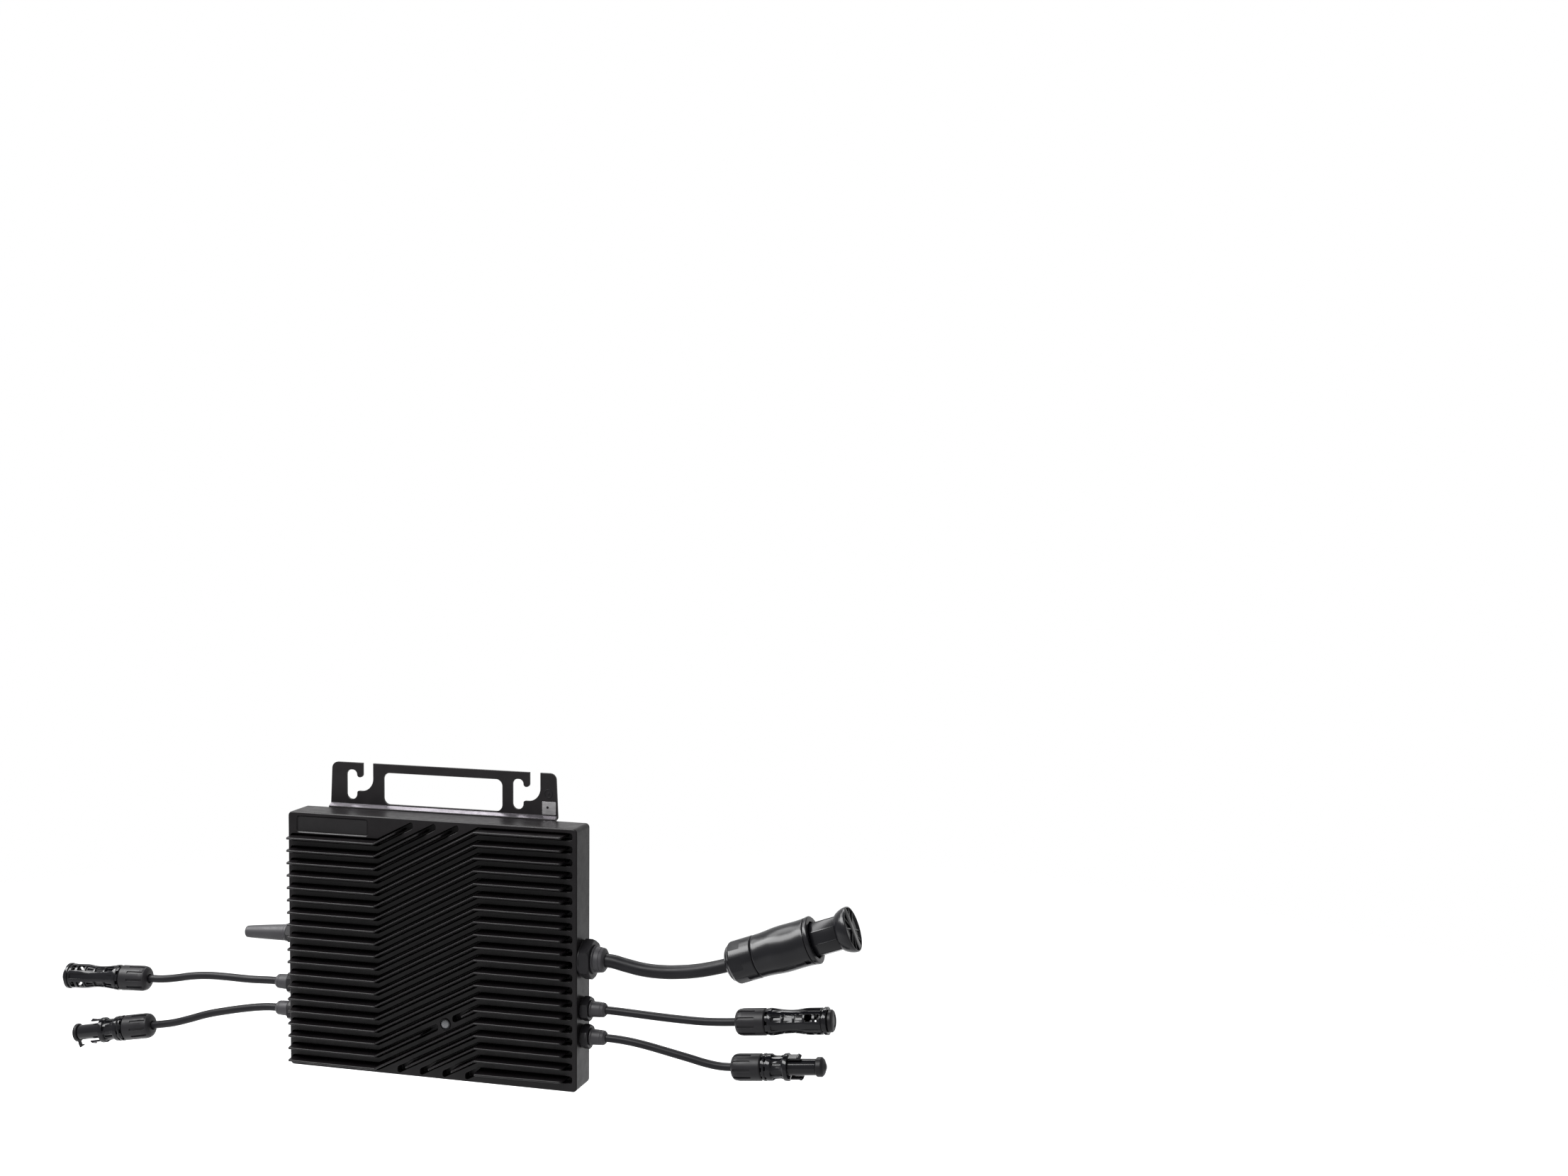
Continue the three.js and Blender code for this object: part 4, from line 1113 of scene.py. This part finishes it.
def socket_cap_mesh(rim_r, length):
    """A sealing plug whose rim stays outside the socket, with a shallow dish in its face."""
    end = 67.9 + length
    plug = [
        (60, 0), (60, 5.8), (67.9, 5.8), (67.9, rim_r), (end - 1.5, rim_r), (end - 0.5, rim_r - 1.0),
        (end, rim_r - 2.7), (end, 0),
    ]
    dish_r = rim_r - 3.5
    dish = turned([(end - 0.4, 0), (end - 0.4, dish_r), (end + 0.8, dish_r + 0.2), (end + 0.8, 0)], 0.2, 64)
    return cut(turned(plug, 0.35, 80), dish)


BARREL_OUTER = [
    (22.9, 9.3), (24.0, 9.3), (24.0, 9.7), (25.6, 9.7), (25.6, 9.2), (26.8, 9.2), (26.8, 9.6), (29.8, 9.5),
    (31.4, 8.5), (33, 8.15), (36.4, 8.1), (38.2, 8.7), (39.4, 9.6), (42.2, 9.8), (42.2, 5.9), (62, 5.75),
]
BARREL_BORE_R = 4.0


def barrel_mesh():
    """Collars, a waist with long pockets, a flange and the smooth barrel."""
    profile = [(4, 0), (4, 7.3), (22.9, 7.3), *BARREL_OUTER, (62, 0)]
    blank = turned(profile, 0.28, 120)
    on = radius_on(BARREL_OUTER)
    tools = [bore(46, 61.5, 1.1, BARREL_BORE_R, 0.1, 80)]
    tools += collar_slots(on, 22.95, 23.95, 45) + collar_slots(on, 25.7, 26.7, 0)
    tools += pockets(4, 45, on, 30.4, 38.4, 2.4, 0.7, 0.5, 0.2)
    steps = [flat_pocket(31.1, 37.7, 45 + 90 * i, 0.75, 6.9) for i in range(4)]
    steps += pockets(4, 0, on, 30.0, 38.8, 1.8, 1.3, 0.5, 0.2)
    return cut(cut(blank, *tools), *steps)


def prong_mesh(turn):
    """A latch arm: a bar with a ramped hook at its tip."""
    side = rounded(
        [(42.6, 7.2), (51.5, 7.2), (52.0, 7.8), (50.3, 9.4), (49.5, 9.4), (49.0, 8.7), (42.6, 8.7)],
        0.3,
    )
    centre = Vector((47.3, 8.1))
    rings = []
    for grow, y in edge_levels(-2.8, 2.8, 0.35):
        scale = Vector((1 + grow / 4.8, 1 + grow / 1.1 * 0.55))
        line = [centre + (point - centre) * scale for point in side]
        rings.append([(s, y, z) for s, z in line])
    return spun(rings, -turn)


def cone_cap_mesh():
    """A sealing cap with a rim and a blunt cone."""
    profile = [
        (56, 0), (56, 3.6), (62.3, 3.6), (62.3, 6.5), (62.9, 6.9), (66.0, 6.9), (66.6, 6.5),
        (67.6, 5.4), (69.2, 1.6), (69.4, 0),
    ]
    return turned(profile, 0.4, 80)


def tab_cap_mesh(roll):
    """A flat sealing cap with a pull tab that hangs straight down and ends in a small barb."""
    disc = [(56, 0), (56, 3.6), (62.3, 3.6), (62.3, 6.6), (62.9, 7.0), (64.6, 7.0), (65.4, 6.3), (65.4, 0)]
    side = rounded(
        [
            (63.3, -5.6), (64.9, -5.6), (64.6, -9.0), (63.9, -11.6), (63.1, -11.6), (62.9, -10.7),
            (60.8, -10.5), (60.8, -9.7), (62.9, -9.5),
        ],
        0.3,
    )
    middle = sum(side, Vector((0, 0))) / len(side)
    rings = []
    for y, scale in ((-1.3, 0.88), (-1.1, 1.0), (1.1, 1.0), (1.3, 0.88)):
        line = [middle + (point - middle) * scale for point in side]
        rings.append([(s, y, z) for s, z in line])
    tab = loft(rings)
    tab.transform(Matrix.Rotation(-roll, 4, "X"))
    return join(turned(disc, 0.35, 80), tab)


for name in SOLAR:
    place = CONNECTOR[name]
    nut, body, cap = f"{name}_nut", f"{name}_body", f"{name}_cap"
    piece(f"{name}_nut_shell", nut_mesh(), place, "satin", "connector", nut, body=nut)
    if name.endswith("upper"):
        piece(f"{name}_socket", socket_mesh(), place, "gloss", "connector", body, flats=False)
        plug = socket_cap_mesh(*SOCKET_CAP[name])
    else:
        piece(f"{name}_barrel", barrel_mesh(), place, "gloss", "connector", body, flats=False)
        plug = cone_cap_mesh() if name.startswith("right") else tab_cap_mesh(ROLL[name])
    piece(f"{name}_seal_cap", plug, place, "matt", "cap", cap, body=cap)
    if name.endswith("lower"):
        for which, turn in (("upper", 0), ("lower", 180)):
            prong = f"{name}_prong_{which}"
            piece(f"{prong}_arm", prong_mesh(turn), place, "gloss", "connector", prong, body=prong)

# ---- grid connector

GRID_FLATS = 6
GRID_FLAT_TURN = -75.5
GRID_NUT_OUTER = [
    (0, 6.2), (0.3, 9.0), (1.2, 11.2), (2.6, 12.9), (3.7, 13.4), (5.2, 14.9), (6.2, 15.3), (21.9, 15.4),
    (22.7, 14.9),
]


def grid_nut_mesh():
    """A large domed nut with six spanner flats that end at a step, ahead of which it is round."""
    inner = [(22.7, 11.8), (3.7, 11.8), (3.7, 5.5), (0.4, 5.5)]
    blank = turned(GRID_NUT_OUTER + inner, 0.3, 180, closed=True)
    side = ((-1, 14.55), (14.3, 14.55), (14.6, 14.85), (14.6, 18), (-1, 18))
    flat = [[(s, y, z) for s, z in side] for y in (-6.5, 6.5)]
    turns = [GRID_FLAT_TURN + 360 * i / GRID_FLATS for i in range(GRID_FLATS)]
    return cut(blank, *[spun(flat, turn) for turn in turns])


GRID_GRIP = [
    (23.8, 15.3), (28, 15.4), (33, 15.8), (38, 16.3), (44, 16.55), (51, 16.45), (57, 16.4), (63.3, 16.7),
]
GRID_OUTER = [
    (23.0, 14.9), *eased(GRID_GRIP), (63.3, 15.9), (64.1, 15.9), (64.1, 17.0), (66.4, 17.1), (67.0, 16.4),
]
GRID_BORE_R = 12.9
GRIP_TURN = -125
GRIP_R = 16
GRIP_RIB_R = 16.42


def grid_body_mesh():
    """A smooth grip with a sealing groove, a flange, a latch notch and three raised grip lines."""
    blank = turned([(4, 0), (4, 11.4), (23.0, 11.4), *GRID_OUTER, (67.0, 0)], 0.3, 180)
    mouth = bore(30, 66.4, 1.6, GRID_BORE_R, 0.15, 120)
    notch = pocket(radius_on(GRID_OUTER), 58.4, 61.9, GRIP_TURN, 2.1, 1.5, 0.4, 0.12)
    ribs = []
    for across, s0, s1 in ((-2.0, 39.5, 50.0), (0.0, 38.2, 51.5), (2.0, 39.5, 50.0)):
        rib = rod(s0, s1, 0.36, 16, 0.3)
        # The round surface lies lower beside the middle rib.
        sink = across * across / (2 * GRIP_R)
        rib.transform(about(GRIP_TURN) @ Matrix.Translation((0, across, GRIP_RIB_R - sink)))
        ribs.append(rib)
    return join(cut(blank, mouth, notch), *ribs)


DRUM_SIDES = 8
SIDE_POINTS = 13
DRUM_RIB_TURN = -42.5
DRUM_RIB_R = 12.5
DRUM_CORNER_R = 12.2
DRUM_SIDE_R = 11.7
# Half of a rib's width, and the free turn between a rib's middle and its neighbouring side, in degrees.
RIB_HALF_TURN = 1.3
RIB_ROOM = 2.0


def drum_ring(s, inset):
    """One section of the drum: slightly bowed sides with a narrow rib along each corner."""
    pitch = 360 / DRUM_SIDES
    half = pitch / 2 - RIB_ROOM
    points = []
    for i in range(DRUM_SIDES):
        corner = DRUM_RIB_TURN + i * pitch
        section = [(corner - RIB_HALF_TURN, DRUM_RIB_R), (corner + RIB_HALF_TURN, DRUM_RIB_R)]
        for k in range(SIDE_POINTS):
            off = half * (2 * k / (SIDE_POINTS - 1) - 1)
            bow = DRUM_SIDE_R + (DRUM_CORNER_R - DRUM_SIDE_R) * (off / half) ** 2
            section.append((corner + pitch / 2 + off, bow))
        for turn, radius in section:
            angle = math.radians(turn)
            points.append((s, (radius - inset) * math.sin(angle), (radius - inset) * math.cos(angle)))
    return points


def grid_cap_mesh():
    """The drum of the sealing cap, with both ends bevelled."""
    levels = [(57.0, 0.9), (57.3, 0.4), (57.8, 0.1), (85.5, 0.1), (85.7, 0.2), (85.8, 0.4)]
    return loft([drum_ring(s, inset) for s, inset in levels])


def raised_bar(half, top, turn):
    """A bar across the knob's dished face, with a rounded top."""
    levels = [(0.0, 94.0), (0.0, top - 0.3), (-0.1, top - 0.1), (-0.3, top)]
    outline = rectangle(-half, half, -14.9, 14.9, 0.5)
    return spun([[(s, y, z) for y, z in outline(grow)] for grow, s in levels], turn)


def grid_knob_mesh():
    """A bulging knob. Its dished face has a grip bar across it and ribs on both sides of the bar."""
    profile = [
        (86.1, 0), (86.1, 12.9), (86.5, 13.4), (87.8, 14.2), (89.4, 15.0), (91.0, 15.6), (92.6, 16.0),
        (94.4, 16.15), (95.6, 15.9), (95.6, 15.1), (94.2, 14.8), (94.2, 0),
    ]
    made = join(turned(profile, 0.35, 144), raised_bar(3.2, 95.5, 0))
    for turn in (-32, -62, 32, 62):
        made = join(made, raised_bar(0.55, 95.2, turn))
    return made


place = CONNECTOR["grid"]
piece("grid_nut_shell", grid_nut_mesh(), place, "plastic", "connector", "grid_nut", body="grid_nut")
piece("grid_grip", grid_body_mesh(), place, "plastic", "connector", "grid_body", flats=False)
piece("grid_drum", grid_cap_mesh(), place, "plastic", "cap", "grid_cap", body="grid_cap", flats=False)
piece(
    "grid_turn_knob", grid_knob_mesh(), place, "plastic", "cap", "grid_knob", body="grid_knob", flats=False,
)

# ---- cords and kept CAD pieces

# The CAD nodes that are shown as they are, by look.
KEPT = {
    "rubber": ["cover_seal"],
    "board": ["circuit_board"],
    "can": ["input_capacitors"],
    "ferrite": ["transformer_left", "transformer_right"],
    "winding": ["grid_inductor"],
    "matt": ["power_switches", "grid_relays", "grid_insert"],
    "contact": [f"{name}_contact" for name in SOLAR],
}
for look, nodes in KEPT.items():
    for node in nodes:
        frame["nodes"][node].material_slots[0].material = LOOK[look]

# ---- stage and light

FLOOR_DROP = 0.1
FLOOR_R = 1.5
FLOOR_SIDES = 72
FADE_START, FADE_END = 0.45, 0.9 * FLOOR_R
PAPER_CLOUDS = 1.5
PAPER_FIBRES = 900.0
MIDDLE = (0.0, 0.0, -0.12)


def make_floor():
    """A pale paper floor a hand's breadth below the hanging unit, which fades out at its rim."""
    nodes = Nodes("floor_paper")
    shader = nodes.shader
    cloud = nodes.span(nodes.noise(PAPER_CLOUDS, 3.0), 0.0, 1.0)
    nodes.link(nodes.blend(cloud, (0.56, 0.56, 0.565), (0.58, 0.58, 0.585)), shader.inputs["Base Color"])
    nodes.link(nodes.bump(nodes.noise(PAPER_FIBRES, 2.0), 0.1 * MM), shader.inputs["Normal"])
    shader.inputs["Roughness"].default_value = 0.9
    shader.inputs["Specular IOR Level"].default_value = 0.1
    far = nodes.add("ShaderNodeVectorMath")
    far.operation = "LENGTH"
    nodes.link(nodes.place, far.inputs[0])
    nodes.link(nodes.span(far.outputs["Value"], 1.0, 0.0, FADE_START, FADE_END), shader.inputs["Alpha"])
    level = cad_low.z - FLOOR_DROP
    bm = bmesh.new()
    rim = [(FLOOR_R * math.cos(a), FLOOR_R * math.sin(a), level) for a in around(FLOOR_SIDES)]
    bm.faces.new([bm.verts.new(point) for point in rim])
    mesh = finished(bm, closed=False)
    mesh.materials.append(nodes.material)
    floor = placed("floor", mesh)


def area_light(name, at, size, radiance):
    """A softbox, turned towards the middle of the unit."""
    data = bpy.data.lights.new(name, "AREA")
    data.shape = "RECTANGLE"
    data.size, data.size_y = size
    data.energy = radiance * math.pi * size[0] * size[1]
    light = placed(name, data)
    light.location = at
    light.rotation_euler = (Vector(MIDDLE) - Vector(at)).to_track_quat("-Z", "Y").to_euler()


def make_light():
    """An even white surround and two softboxes."""
    world = bpy.data.worlds.new("studio")
    world.use_nodes = True
    background = world.node_tree.nodes["Background"]
    background.inputs["Color"].default_value = (1.0, 1.0, 1.0, 1.0)
    background.inputs["Strength"].default_value = 1.0
    bpy.context.scene.world = world
    area_light("key", (-0.55, -0.6, 0.86), (1.5, 0.46), 28.0)
    area_light("rear", (-0.5, 0.36, 1.0), (1.5, 0.4), 11.0)


make_floor()
make_light()
bpy.context.scene.view_settings.view_transform = "Standard"
